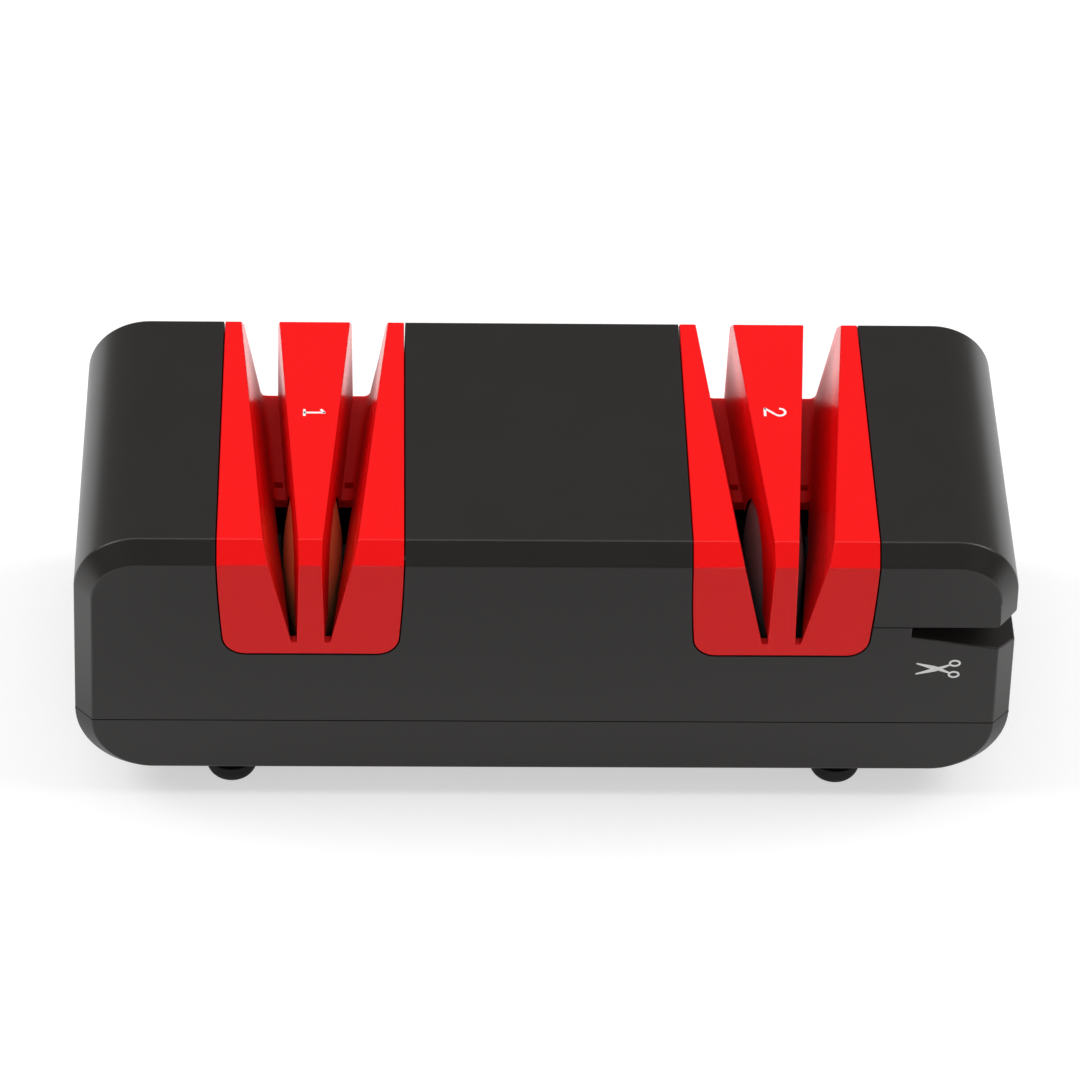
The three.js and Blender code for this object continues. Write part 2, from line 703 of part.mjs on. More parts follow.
function baseShell() {
  const lower = outerCasing.intersect(below(zSeam - gap / 2));
  const floorUp = (z) => [zFloor - gap, z];
  const bosses = caseScrewPlaces.map(([x, y]) =>
    barZ(caseScrew.bossRadius, x, y, [zBottom, zSeam - gap / 2]));
  const saddles = sides.map((side) =>
    block(saddleRange(side), [shaft.y - strapReach, shaft.y + strapReach], floorUp(zAxis - gap / 2)));
  const pad = block(
    bearingX,
    [shaft.y - bearingBlock.footHalf, shaft.y + bearingBlock.footHalf],
    floorUp(padTop),
  );
  const posts = boardPosts.map(([x, y]) => barZ(board.postRadius, x, y, floorUp(postTop)));
  const rails = Object.values(guidePlaces).flatMap((x) =>
    sides.map((side) => {
      const middle = x + side * (drawerHalf - drawer.railWidth);
      const span = [middle - drawer.railWidth / 2, middle + drawer.railWidth / 2];
      return block(span, [drawerFront, halfDepth - body.wall], floorUp(zFloor + drawer.lift));
    }));
  const inside = union([...bosses, ...saddles, pad, ...posts, ...rails]);
  const backWall = [yEdge - body.wall - overrun, halfDepth + overrun];
  const drawerHoles = Object.values(guidePlaces).map((x) =>
    block(drawerSpan(x, gap), backWall, [drawerBottom - gap, drawerTop + gap]));
  const saddleEnd = saddleX + strap.width;
  const saddleBore = barX(ringRadius + gap, [-saddleEnd, saddleEnd], shaft.y, zAxis, fineSides);
  const caseHoles = caseScrewPlaces.flatMap(([x, y]) => [
    barZ(screw.radius + gap, x, y, [zBottom - overrun, zSeam + overrun]),
    barZ(screw.headRadius + gap, x, y, [zBottom - overrun, zBottom + caseScrew.sink]),
  ]);
  const headTop = zFloor + gap + foot.headHeight;
  const footHoles = footPlaces.flatMap(([, x, y]) => [
    barZ(foot.stemRadius + gap, x, y, [zBottom - overrun, zFloor + overrun]),
    barZ(foot.headRadius + gap, x, y, [zFloor, headTop + gap]),
  ]);
  const strapHoles = sides.flatMap((side) =>
    sides.map((edge) => {
      const [x0, x1] = saddleRange(side);
      const y = shaft.y + edge * strapScrewY;
      const z = [zAxis - strapScrew.length, zAxis + overrun];
      return barZ(strapScrew.radius + gap / 2, (x0 + x1) / 2, y, z);
    }));
  const bearingDepth = bearingScrew.length - bearingBlock.footThick;
  const bearingHoles = sides.map((side) => {
    const z = [padTop - bearingDepth, padTop + overrun];
    return barZ(screw.radius + gap / 2, bearingMiddle, shaft.y + side * bearingScrewY, z);
  });
  const boardDepth = boardScrew.length - board.thick;
  const boardHoles = boardPosts.map(([x, y]) =>
    barZ(screw.radius + gap / 2, x, y, [postTop - boardDepth, postTop + overrun]));
  const vents = Array.from({ length: vent.count }, (_, i) => {
    const x = (i - (vent.count - 1) / 2) * vent.pitch;
    const y = [ventFront, ventFront + vent.length];
    return block([x - vent.width / 2, x + vent.width / 2], y, [zBottom - overrun, zFloor + overrun]);
  });
  const cuts = [
    ...drawerHoles,
    saddleBore,
    ...caseHoles,
    ...footHoles,
    ...strapHoles,
    ...bearingHoles,
    ...boardHoles,
    ...vents,
  ];
  const standing = inside.intersect(casing(gap).add(above(zSeam)));
  return lower.subtract(innerCasing).add(lipRing()).add(standing).subtract(union(cuts));
}

piece('base_shell', baseShell(), blackShell);
piece('main_shell', mainShell(), blackShell);
piece('scissors_cover', scissorsCover(), blackShell);

// Domed foot with a stem snapped through the floor
function footSolid() {
  const steps = filletSteps;
  const edge = foot.radius - foot.tread;
  const rise = foot.stand - gap;
  const dome = Array.from({ length: steps + 1 }, (_, i) => {
    const angle = (quarterTurn * i) / steps;
    return [foot.tread + edge * Math.sin(angle), rise * (1 - Math.cos(angle)) * 0.8];
  });
  const stemTop = foot.stand + body.wall + gap;
  const profile = [
    [0, 0],
    ...dome,
    [foot.radius, rise],
    [foot.stemRadius, rise],
    [foot.stemRadius, stemTop],
    [foot.headRadius, stemTop],
    [foot.stemRadius, stemTop + foot.headHeight],
    [0, stemTop + foot.headHeight],
  ];
  const geometry = new THREE.LatheGeometry(profile.map(([r, z]) => new THREE.Vector2(r, z)), roundSides);
  geometry.rotateX(quarterTurn);
  return solidOf(geometry);
}

footPlaces.forEach(([name, x, y]) => piece(`foot_${name}`, footSolid(), rubber, [x, y, 0]));

// Cross-slotted screw that stands on its head at z = 0 with the shank upwards
function screwSolid(kind) {
  const { radius, headRadius, length } = { ...screw, ...kind };
  const head = barZ(headRadius, 0, 0, [0, screw.headHeight]);
  const shank = barZ(radius, 0, 0, [screw.headHeight - gap, screw.headHeight + length]);
  const half = headRadius - screw.driveWidth;
  const arm = screw.driveWidth / 2;
  const depth = [-overrun, screw.driveDepth];
  const drive = block([-half, half], [-arm, arm], depth).add(block([-arm, arm], [-half, half], depth));
  return head.add(shank).subtract(drive);
}

caseScrewPlaces.forEach(([x, y], i) => {
  const z = zBottom + caseScrew.sink - gap - screw.headHeight;
  piece(`case_screw_${i + 1}`, screwSolid(caseScrew), zincSteel, [x, y, z]);
});
coverScrewY.forEach((y, i) => {
  const z = zPart - scissors.ledgeThick - gap - screw.headHeight;
  piece(`cover_screw_${i + 1}`, screwSolid(coverScrew), zincSteel, [coverScrewX, y, z]);
});

// A screw put in from above, with its head resting at a height
function topScrew(name, kind, x, y, z) {
  const mesh = piece(name, screwSolid(kind), zincSteel, [x, y, z + gap + screw.headHeight]);
  mesh.rotation.x = Math.PI;
}

// Turning parts
const shaftEnd = innerX - gap - scissorsHub.shoulder;
piece('motor_shaft', barX(shaft.radius, [-guideX - shaft.leftReach, shaftEnd], shaft.y, zAxis), steel);
Object.entries(guidePlaces).forEach(([name, x]) => {
  const grit = name === 'coarse' ? coarseGrit : fineGrit;
  piece(`${name}_wheel`, turnedX(wheelProfile(x, 0, wheel.boreRadius), fineSides), grit);
  const outward = Math.sign(x);
  const near = wheel.halfThick + gap;
  const bore = shaft.radius + gap;
  const along = (values) => values.map((value) => x + outward * value).sort((a, b) => a - b);
  const sleeve = ringX(bore, hub.sleeveRadius, along([near + hub.flangeThick, -near - hub.overhang]));
  const flange = ringX(bore, hub.flangeRadius, along([near, near + hub.flangeThick]));
  piece(`${name}_hub`, sleeve.add(flange), castAlloy);
});

const scissorsDisc = ringX(scissorsWheel.boreRadius, scissorsWheel.radius, [discBack, discFace], fineSides);
piece('scissors_wheel', scissorsDisc, whiteGrit);
const scissorsSleeve = ringX(shaft.radius + gap, scissorsHub.sleeveRadius, [hubBack, shaftEnd]);
const scissorsFlange = ringX(shaft.radius + gap, scissorsHub.flangeRadius, [hubBack, discBack - gap]);
piece('scissors_hub', scissorsSleeve.add(scissorsFlange), castAlloy);

// Places spaced evenly round the shaft
const spokes = Array.from({ length: armature.slots }, (_, i) => (i * 2 * Math.PI) / armature.slots);
const aboutShaft = (solid, angle) => {
  const turn = THREE.MathUtils.radToDeg(angle);
  return solid.translate([0, -shaft.y, -zAxis]).rotate([turn, 0, 0]).translate([0, shaft.y, zAxis]);
};
const coreSpan = [-armatureHalf, armatureHalf];

function armatureCore() {
  const core = ringX(shaft.radius + gap, armature.radius, coreSpan, fineSides);
  const cutSpan = [coreSpan[0] - overrun, coreSpan[1] + overrun];
  const slotZ = zAxis + armature.slotPitch;
  const bar = barX(armature.slotRadius, cutSpan, shaft.y, slotZ, slotSides);
  const half = armature.slotMouth / 2;
  const mouth = block(cutSpan, [shaft.y - half, shaft.y + half], [slotZ, zAxis + armature.radius + overrun]);
  const cut = bar.add(mouth);
  return spokes.reduce((solid, angle) => solid.subtract(aboutShaft(cut, angle)), core);
}

function armatureWinding() {
  const { innerRadius, outerRadius, thick, bevel } = winding;
  const end = armatureHalf + gap;
  const donut = (sign) => {
    const near = sign * end;
    const far = sign * (end + thick);
    const profile = [
      [innerRadius, near],
      [outerRadius, near],
      [outerRadius, far - sign * bevel],
      [outerRadius - bevel, far],
      [innerRadius, far],
    ];
    return turnedX(sign > 0 ? profile : profile.reverse(), fineSides);
  };
  const wireZ = zAxis + armature.slotPitch;
  const wire = barX(armature.wireRadius, [-end - gap, end + gap], shaft.y, wireZ, slotSides);
  return union([donut(-1), donut(1), ...spokes.map((angle) => aboutShaft(wire, angle))]);
}

function commutatorSolid() {
  const span = [commutatorStart, commutatorStart + commutator.length];
  const drum = ringX(shaft.radius + gap, commutator.radius, span, fineSides);
  const half = commutator.slitWidth / 2;
  const top = zAxis + commutator.radius;
  const slit = block(
    [span[0] - overrun, span[1] - commutator.slitDepth],
    [shaft.y - half, shaft.y + half],
    [top - commutator.slitDepth, top + overrun],
  );
  return spokes.reduce((solid, angle) => solid.subtract(aboutShaft(slit, angle)), drum);
}

piece('armature_core', armatureCore(), darkIron);
piece('armature_winding', armatureWinding(), copper);
piece('commutator', commutatorSolid(), copper);

// Motor housing
const canSpan = [-canHalf, canHalf];
const canInner = motor.radius - motor.canWall;
piece('motor_can', ringX(canInner, motor.radius, canSpan, fineSides), zincSteel);

const magnetOuter = canInner - gap;
const magnetSpan = [-canHalf + magnet.endInset, canHalf - magnet.endInset];
const magnetRing = ringX(magnetOuter - magnet.thick, magnetOuter, magnetSpan, fineSides);
const magnetHalf = {
  front: [-body.depth, shaft.y - magnet.sideY],
  rear: [shaft.y + magnet.sideY, body.depth],
};
Object.entries(magnetHalf).forEach(([name, span]) => {
  piece(`magnet_${name}`, magnetRing.intersect(block(wide, span, [0, zTop])), ferrite);
});

const brushX = commutatorStart + commutator.length / 2 - commutator.slitDepth / 2;
const brushNear = commutator.radius + gap;
const brushBox = (sign, grow) => {
  const heights = [brushNear - grow, brushNear + brush.length + grow].map((reach) => zAxis + sign * reach);
  return block(
    [brushX - brush.width / 2 - grow, brushX + brush.width / 2 + grow],
    [shaft.y - brush.thick / 2 - grow, shaft.y + brush.thick / 2 + grow],
    heights.sort((a, b) => a - b),
  );
};

function motorEndPlate(side) {
  const along = (from, to) => [side * from, side * to].sort((a, b) => a - b);
  const seat = bush.outerRadius + gap;
  const plate = ringX(seat, motor.radius, along(canHalf + gap, motorEnd), fineSides);
  const boss = ringX(seat, motor.bossRadius, along(canHalf + gap, motorEnd + motor.bossReach));
  if (side > 0) return plate.add(boss);
  const holders = sides.map((sign) => {
    const start = brushNear + brush.holderWall;
    const heights = [start, start + brush.length - brush.holderWall].map((reach) => zAxis + sign * reach);
    const half = brush.thick / 2 + gap + brush.holderWall;
    const tube = block(
      [-canHalf - gap, brushX + brush.width / 2 + gap + brush.holderWall],
      [shaft.y - half, shaft.y + half],
      heights.sort((a, b) => a - b),
    );
    return tube.subtract(brushBox(sign, gap));
  });
  const spigot = barX(canInner - gap, [-motorEnd, 0], shaft.y, zAxis);
  return union([plate, boss, ...holders.map((tube) => tube.intersect(spigot))]);
}

sides.forEach((side) => {
  const name = side < 0 ? 'left' : 'right';
  const along = (from, to) => [side * from, side * to].sort((a, b) => a - b);
  piece(`motor_end_${name}`, motorEndPlate(side), castAlloy);
  const bushStart = canHalf + gap;
  const bushSpan = along(bushStart, bushStart + bush.length);
  piece(`motor_bush_${name}`, ringX(shaft.radius + gap, bush.outerRadius, bushSpan), bronze);
  const ringSpan = saddleRange(side);
  piece(`motor_ring_${name}`, ringX(motor.bossRadius + gap, ringRadius, ringSpan, fineSides), rubber);
  piece(`motor_strap_${name}`, strapSolid(side), zincSteel);
  sides.forEach((edge) => {
    const place = edge < 0 ? 'front' : 'rear';
    const z = zAxis + gap / 2 + strap.flangeThick;
    const x = (ringSpan[0] + ringSpan[1]) / 2;
    topScrew(`strap_screw_${name}_${place}`, strapScrew, x, shaft.y + edge * strapScrewY, z);
  });
});
sides.forEach((sign) => piece(`brush_${sign < 0 ? 'lower' : 'upper'}`, brushBox(sign, 0), carbon));

// Half band over a rubber ring, with a screw flange on each side
function strapSolid(side) {
  const span = saddleRange(side);
  const seat = zAxis + gap / 2;
  const band = ringX(ringRadius + gap, strapRadius, span, fineSides);
  const flanges = block(span, [shaft.y - strapReach, shaft.y + strapReach], [seat, seat + strap.flangeThick]);
  const inside = barX(ringRadius + gap, [span[0] - overrun, span[1] + overrun], shaft.y, zAxis, fineSides);
  const holes = sides.map((edge) =>
    barZ(strapScrew.radius + gap, (span[0] + span[1]) / 2, shaft.y + edge * strapScrewY, [zBottom, zTop]));
  return band.intersect(above(seat)).add(flanges).subtract(union([inside, ...holes]));
}

// Outboard bearing beside the fine wheel
function bearingBlockSolid() {
  const { halfWidth, footHalf, footThick, wall } = bearingBlock;
  const footZ = padTop + gap;
  const head = barX(bearing.outerRadius + gap + wall, bearingX, shaft.y, zAxis);
  const web = block(bearingX, [shaft.y - halfWidth, shaft.y + halfWidth], [footZ, zAxis]);
  const flange = block(bearingX, [shaft.y - footHalf, shaft.y + footHalf], [footZ, footZ + footThick]);
  const boreX = [bearingX[0] - overrun, bearingX[1] + overrun];
  const bore = barX(bearing.outerRadius + gap, boreX, shaft.y, zAxis);
  const holes = sides.map((side) =>
    barZ(screw.radius + gap, bearingMiddle, shaft.y + side * bearingScrewY, [zBottom, zAxis]));
  return union([head, web, flange]).subtract(union([bore, ...holes]));
}

piece('bearing_block', bearingBlockSolid(), greyPlastic);
const bearingSpan = [bearingMiddle - bearing.length / 2, bearingMiddle + bearing.length / 2];
piece('shaft_bearing', ringX(shaft.radius + gap, bearing.outerRadius, bearingSpan), steel);
sides.forEach((side, i) => {
  const z = padTop + gap + bearingBlock.footThick;
  topScrew(`bearing_screw_${i + 1}`, bearingScrew, bearingMiddle, shaft.y + side * bearingScrewY, z);
});

// Mains inlet
function inletSolid() {
  const centred = (width) => [inletX - width / 2, inletX + width / 2];
  const middle = (height) => [panelMiddle - height / 2, panelMiddle + height / 2];
  const seat = panelY + gap;
  const face = seat + inlet.flangeThick;
  const flange = block(centred(inlet.flangeWidth), [seat, face], middle(inlet.flangeHeight));
  const shell = block(centred(inlet.bodyWidth), [face - inlet.bodyDepth, face], middle(inlet.bodyHeight));
  const radius = inlet.cavityHeight / 2;
  const lobe = inlet.cavityWidth / 2 - radius;
  const cavityY = [face - inlet.cavityDepth, face + overrun];
  const cavity = union([
    barY(radius, inletX - lobe, cavityY, panelMiddle),
    barY(radius, inletX + lobe, cavityY, panelMiddle),
    block([inletX - lobe, inletX + lobe], cavityY, [panelMiddle - radius, panelMiddle + radius]),
  ]);
  const pinY = [panelY - inlet.bodyDepth, face];
  const pins = sides.map((side) =>
    barY(inlet.pinRadius + gap, inletX + (side * inlet.pinPitch) / 2, pinY, panelMiddle));
  return flange.add(shell).subtract(union([cavity, ...pins]));
}

piece('inlet_socket', inletSolid(), blackPlastic);
sides.forEach((side) => {
  const tip = panelY + inlet.flangeThick - (inlet.cavityDepth - inlet.pinLength);
  const tail = panelY + gap + inlet.flangeThick - inlet.bodyDepth - inlet.pinLength / 2;
  const pin = barY(inlet.pinRadius, inletX + (side * inlet.pinPitch) / 2, [tail, tip], panelMiddle);
  piece(`inlet_pin_${side < 0 ? 'left' : 'right'}`, pin, steel);
});

// Rocker switch
const rockerAxisY = panelY + gap + rocker.flangeThick - rocker.dip / 2;

function switchHousing() {
  const centred = (width) => [rockerX - width / 2, rockerX + width / 2];
  const middle = (height) => [panelMiddle - height / 2, panelMiddle + height / 2];
  const seat = panelY + gap;
  const face = seat + rocker.flangeThick;
  const flange = block(centred(rocker.flangeWidth), [seat, face], middle(rocker.flangeHeight));
  const shell = block(centred(rocker.bodyWidth), [face - rocker.bodyDepth, face], middle(rocker.bodyHeight));
  const wellY = [face - rocker.wellDepth, face + overrun];
  const well = block(centred(rocker.wellWidth), wellY, middle(rocker.wellHeight));
  const pinReach = rocker.wellWidth + 2 * (rocker.pinReach + gap);
  const pinHole = barX(rocker.pinRadius + gap, centred(pinReach), rockerAxisY, panelMiddle);
  return flange.add(shell).subtract(well.add(pinHole));
}

// Rocker in its off position, with the lower end pressed in
function rockerSolid() {
  const width = rocker.wellWidth - 2 * gap;
  const outline = [
    [-rocker.halfLength, -rocker.underside],
    [rocker.halfLength, -rocker.underside],
    [rocker.halfLength, rocker.peak],
    [0, rocker.dip],
    [-rocker.halfLength, rocker.peak],
  ];
  const shape = new THREE.Shape(outline.map(([along, out]) => new THREE.Vector2(along, out)));
  const geometry = new THREE.ExtrudeGeometry(shape, { depth: width, bevelEnabled: false });
  geometry.translate(0, 0, -width / 2);
  geometry.rotateZ(rocker.tilt);
  geometry.rotateY(-quarterTurn);
  geometry.translate(rockerX, rockerAxisY, panelMiddle);
  const half = width / 2 + gap + rocker.pinReach;
  const pin = barX(rocker.pinRadius, [rockerX - half, rockerX + half], rockerAxisY, panelMiddle);
  return solidOf(geometry).add(pin);
}

piece('switch_housing', switchHousing(), blackPlastic);
piece('switch_rocker', rockerSolid(), redPlastic);

// Rectifier board behind and below the motor
function boardSolid() {
  const plate = block([-board.halfWidth, board.halfWidth], [boardFront, boardBack], [boardBottom, boardTop]);
  const holes = boardPosts.map(([x, y]) => barZ(screw.radius + gap, x, y, [zBottom, zTop]));
  return plate.subtract(union(holes));
}

piece('circuit_board', boardSolid(), boardGreen);
const onBoard = boardTop + gap;
const canTop = onBoard + capacitor.height;
const capacitorY = boardFront + capacitor.fromFront;
piece('capacitor', barZ(capacitor.radius, capacitor.x, capacitorY, [onBoard, canTop]), sleeveBlue);
const rectifierY = boardFront + rectifier.fromFront;
const rectifierBox = block(
  [rectifier.x - rectifier.width / 2, rectifier.x + rectifier.width / 2],
  [rectifierY, rectifierY + rectifier.thick],
  [onBoard, onBoard + rectifier.height],
);
piece('bridge_rectifier', rectifierBox, blackPlastic);
[boardPosts[0], boardPosts.at(-1)].forEach(([x, y], i) => {
  topScrew(`board_screw_${i + 1}`, boardScrew, x, y, boardTop);
});

// Lead from the board to the rim of the left motor end
function leadSolid(side) {
  const endY = shaft.y + motor.radius + gap;
  const endZ = zAxis + side * lead.entryRise;
  const x = lead.x + (side * lead.spread) / 2;
  const entryX = -(canHalf + motorEnd) / 2;
  const leadY = boardFront + lead.fromFront;
  const route = new THREE.CatmullRomCurve3([
    new THREE.Vector3(x, leadY, onBoard),
    new THREE.Vector3(x, leadY, onBoard + lead.bow),
    new THREE.Vector3(entryX, endY + lead.bow, endZ - lead.bow),
    new THREE.Vector3(entryX, endY + lead.bow / 2, endZ),
    new THREE.Vector3(entryX, endY, endZ),
  ]);
  const circle = new THREE.Shape().absarc(0, 0, lead.radius, 0, 2 * Math.PI);
  const { steps, curveSegments } = lead;
  const options = { steps, curveSegments, extrudePath: route, bevelEnabled: false };
  return solidOf(new THREE.ExtrudeGeometry(circle, options));
}

piece('motor_lead_red', leadSolid(1), leadRed);
piece('motor_lead_black', leadSolid(-1), leadBlack);

// Dust drawer that slides out of the back below a wheel
function drawerSolid(x) {
  const outer = block(drawerSpan(x, 0), [drawerFront, halfDepth], [drawerBottom, drawerTop]);
  const inner = block(
    drawerSpan(x, -drawer.wall),
    [drawerFront + drawer.wall, halfDepth - drawer.panelThick],
    [drawerBottom + drawer.wall, drawerTop + overrun],
  );
  const scoopY = halfDepth + grip.radius - grip.bite;
  const middle = (drawerBottom + drawerTop) / 2;
  const scoop = barX(grip.radius, [x - grip.halfLength, x + grip.halfLength], scoopY, middle);
  return outer.subtract(inner).subtract(scoop);
}

Object.entries(guidePlaces).forEach(([name, x]) => {
  piece(`${name}_dust_drawer`, drawerSolid(x), blackPlastic);
});

export default sharpener;
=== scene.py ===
"""Looks of the electric knife sharpener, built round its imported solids.

Sizes are in millimetres, X to the right, Y to the back and Z up, and become
metres when a mesh is made. Inside materials, lamps and the room they are in
metres, as Blender takes them.
"""

import json
import logging
import math
from dataclasses import dataclass, field
from enum import Enum
from typing import Any, Callable, Iterable, Sequence

import bmesh
import bpy
import numpy as np
from mathutils import Matrix, Vector


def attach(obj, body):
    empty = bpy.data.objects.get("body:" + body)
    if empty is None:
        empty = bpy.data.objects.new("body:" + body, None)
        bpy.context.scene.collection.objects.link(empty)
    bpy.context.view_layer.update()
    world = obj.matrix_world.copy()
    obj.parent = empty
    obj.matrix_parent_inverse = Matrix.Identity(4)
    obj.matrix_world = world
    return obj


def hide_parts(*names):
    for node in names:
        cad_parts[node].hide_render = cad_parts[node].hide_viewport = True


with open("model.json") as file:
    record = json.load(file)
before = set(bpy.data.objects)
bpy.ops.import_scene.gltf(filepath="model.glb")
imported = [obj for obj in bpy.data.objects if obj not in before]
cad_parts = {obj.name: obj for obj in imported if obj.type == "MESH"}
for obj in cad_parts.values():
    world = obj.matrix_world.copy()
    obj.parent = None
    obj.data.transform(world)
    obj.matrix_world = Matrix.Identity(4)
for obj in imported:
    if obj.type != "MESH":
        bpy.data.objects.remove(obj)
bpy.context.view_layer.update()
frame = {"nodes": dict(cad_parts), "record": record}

Array = np.ndarray
Piece = bpy.types.Object
Socket = bpy.types.NodeSocket
Group = bpy.types.NodeTree
Pair = tuple[float, float]
Point = tuple[float, float, float]
Colour = tuple[float, float, float]
Box = tuple[Sequence[float], Sequence[float]]

# A millimetre in metres, the distance in metres within which points are one, how
# far a cutter reaches past a face, and the motor shaft's y and z.
MM = 0.001
MERGE = 1e-7
PAST = 1.0
SHAFT: Pair = (-12.0, 46.5)
log = logging.getLogger("sharpener")


# Surfaces


class Skin:
    """Gathers surface patches in millimetres and welds them into one mesh."""

    def __init__(self) -> None:
        """Starts with no patches."""
        self._points: list[Array] = []
        self._faces: list[list[int]] = []
        self._count = 0

    def _add(self, points: Array, faces: Array) -> "Skin":
        """Adds a patch.

        Args:
            points: Points by 3.
            faces: Faces by corners, as indices of the patch's own points.

        Returns:
            This skin.
        """
        self._faces += (faces + self._count).tolist()
        self._points.append(points)
        self._count += len(points)
        return self

    def grid(self, points: Array, wrap: bool = False, keep: Array | None = None) -> "Skin":
        """Adds a grid surface, one quad for each square of neighbouring points.

        Args:
            points: Rows by columns by 3.
            wrap: Joins the last column to the first.
            keep: True for each column of quads that is wanted.

        Returns:
            This skin.
        """
        rows, cols = points.shape[:2]
        row, col = np.meshgrid(np.arange(rows - 1), np.arange(cols if wrap else cols - 1), indexing="ij")
        start, after = row * cols, (col + 1) % cols
        quads = np.stack([start + col, start + after, start + cols + after, start + cols + col], -1)
        if keep is not None:
            quads = quads[:, keep]
        return self._add(points.reshape(-1, 3), quads.reshape(-1, 4))

    def polygon(self, loop: Array) -> "Skin":
        """Adds one flat face round a loop of points."""
        return self._add(loop, np.arange(len(loop))[None, :])

    def box(self, low: Sequence[float], high: Sequence[float]) -> "Skin":
        """Adds a closed block between two corners, as eight points and six faces.

        Args:
            low: Corner with the least x, y and z.
            high: Corner with the greatest x, y and z.

        Returns:
            This skin.
        """
        corner = np.array([low, high], float)
        pick = np.array([[x, y, z] for z in (0, 1) for y in (0, 1) for x in (0, 1)])
        faces = np.array([[0, 2, 3, 1], [4, 5, 7, 6], [0, 1, 5, 4], [2, 6, 7, 3], [0, 4, 6, 2], [1, 3, 7, 5]])
        return self._add(corner[pick, np.arange(3)], faces)

    def build(self, name: str, smooth: bool = True) -> Piece:
        """Makes the mesh, with doubles merged and faces pointing outwards.

        Args:
            name: Name of the piece.
            smooth: Shades across the faces.

        Returns:
            The new object, at the origin.
        """
        mesh = bpy.data.meshes.new(name)
        mesh.from_pydata(np.concatenate(self._points) * MM, [], self._faces)
        work = bmesh.new()
        work.from_mesh(mesh)
        bmesh.ops.remove_doubles(work, verts=work.verts, dist=MERGE)
        bmesh.ops.dissolve_degenerate(work, edges=work.edges, dist=MERGE)
        many_sided = [f for f in work.faces if len(f.verts) > 4]
        bmesh.ops.triangulate(work, faces=many_sided)
        bmesh.ops.recalc_face_normals(work, faces=work.faces)
        work.to_mesh(mesh)
        if inside_out(mesh):
            bmesh.ops.reverse_faces(work, faces=work.faces)
            work.to_mesh(mesh)
        work.free()
        mesh.polygons.foreach_set("use_smooth", np.full(len(mesh.polygons), smooth))
        piece = bpy.data.objects.new(name, mesh)
        bpy.context.scene.collection.objects.link(piece)
        return piece


def read(items: Any, name: str, width: int = 1, kind: type = float) -> Array:
    """Reads one value of every item of a mesh.

    Args:
        items: The mesh's points, edges, faces or loops.
        name: The value's name.
        width: Numbers in one item's value.
        kind: Type of the numbers.

    Returns:
        One row for each item, or one number where the width is 1.
    """
    values = np.empty(len(items) * width, kind)
    items.foreach_get(name, values)
    return values.reshape(-1, width) if width > 1 else values


def inside_out(mesh: bpy.types.Mesh) -> bool:
    """Sums, over the faces, area times how far the normal goes along the way from the middle.

    Args:
        mesh: The mesh.

    Returns:
        True where the sum is below zero, so that the faces look inwards.
    """
    way = read(mesh.polygons, "center", 3) - read(mesh.vertices, "co", 3).mean(axis=0)
    outward = np.einsum("ij,ij->i", way, read(mesh.polygons, "normal", 3))
    return bool(outward @ read(mesh.polygons, "area") < 0)


class Axis(Enum):
    """Line that a turned shape goes round."""

    X = 0
    Y = 1
    Z = 2


def turned(profile: Array, axis: Axis, centre: Sequence[float], count: int) -> Array:
    """Surface of revolution: each profile point's circle about an axis.

    Args:
        profile: Rows of radius and place along the axis.
        axis: The axis's direction.
        centre: A point on the axis.
        count: Points on a circle.

    Returns:
        Profile points by count by 3, to be wrapped.
    """
    turn = np.linspace(0, 2 * np.pi, count, endpoint=False)
    radius, along = profile[:, :1], profile[:, 1:]
    parts = [along + 0 * turn, radius * np.cos(turn), radius * np.sin(turn)]
    return np.stack([parts[(i - axis.value) % 3] for i in range(3)], -1) + np.array(centre, float)


def rod(radius: float, axis: Axis, start: Sequence[float], length: float, count: int = 48) -> Array:
    """Closed round bar as a turned profile from the axis out, along and back."""
    profile = np.array([[0, 0], [radius, 0], [radius, length], [0, length]], float)
    return turned(profile, axis, start, count)


def arc(centre: Sequence[float], radius: float, turn: Array) -> Array:
    """Points of a circle at the given angles, as centre + radius * (cosine, sine)."""
    return np.array(centre) + radius * np.stack([np.cos(turn), np.sin(turn)], -1)


def rounded_loop(width: float, height: float, radius: float, count: int = 48) -> Array:
    """Rounded rectangle: a circle of points whose quarters are pushed out to the corners.

    Args:
        width: Full width.
        height: Full height.
        radius: Corner radius.
        count: Points in the loop, a multiple of four.

    Returns:
        Count by 2 points about the middle.
    """
    way = arc((0.0, 0.0), 1.0, (np.arange(count) + 0.5) * 2 * np.pi / count)
    reach = np.array([width / 2 - radius, height / 2 - radius])
    return np.sign(way) * reach + radius * way


def ribbon(path: Array, half_width: Array | float) -> Array:
    """Flat strip: each path point moved to both sides along the path's normal.

    Args:
        path: Points by 2.
        half_width: Half width, or one for each point.

    Returns:
        Points by 2 sides by 2.
    """
    along = np.gradient(path, axis=0)
    along /= np.linalg.norm(along, axis=1, keepdims=True)
    half = np.broadcast_to(half_width, len(path))
    normal = np.stack([-along[:, 1], along[:, 0]], -1) * half[:, None]
    return np.stack([path - normal, path + normal], 1)


def ridge(under: Array, over: Array) -> Array:
    """Low ridge: up one side of a strip, across its top and down the other side.

    Args:
        under: The strip's points by 2 sides by 3, at the foot.
        over: The same at the top.

    Returns:
        Points by 5 by 3.
    """
    return np.stack([under[:, 0], over[:, 0], over[:, 1], under[:, 1], under[:, 0]], 1)


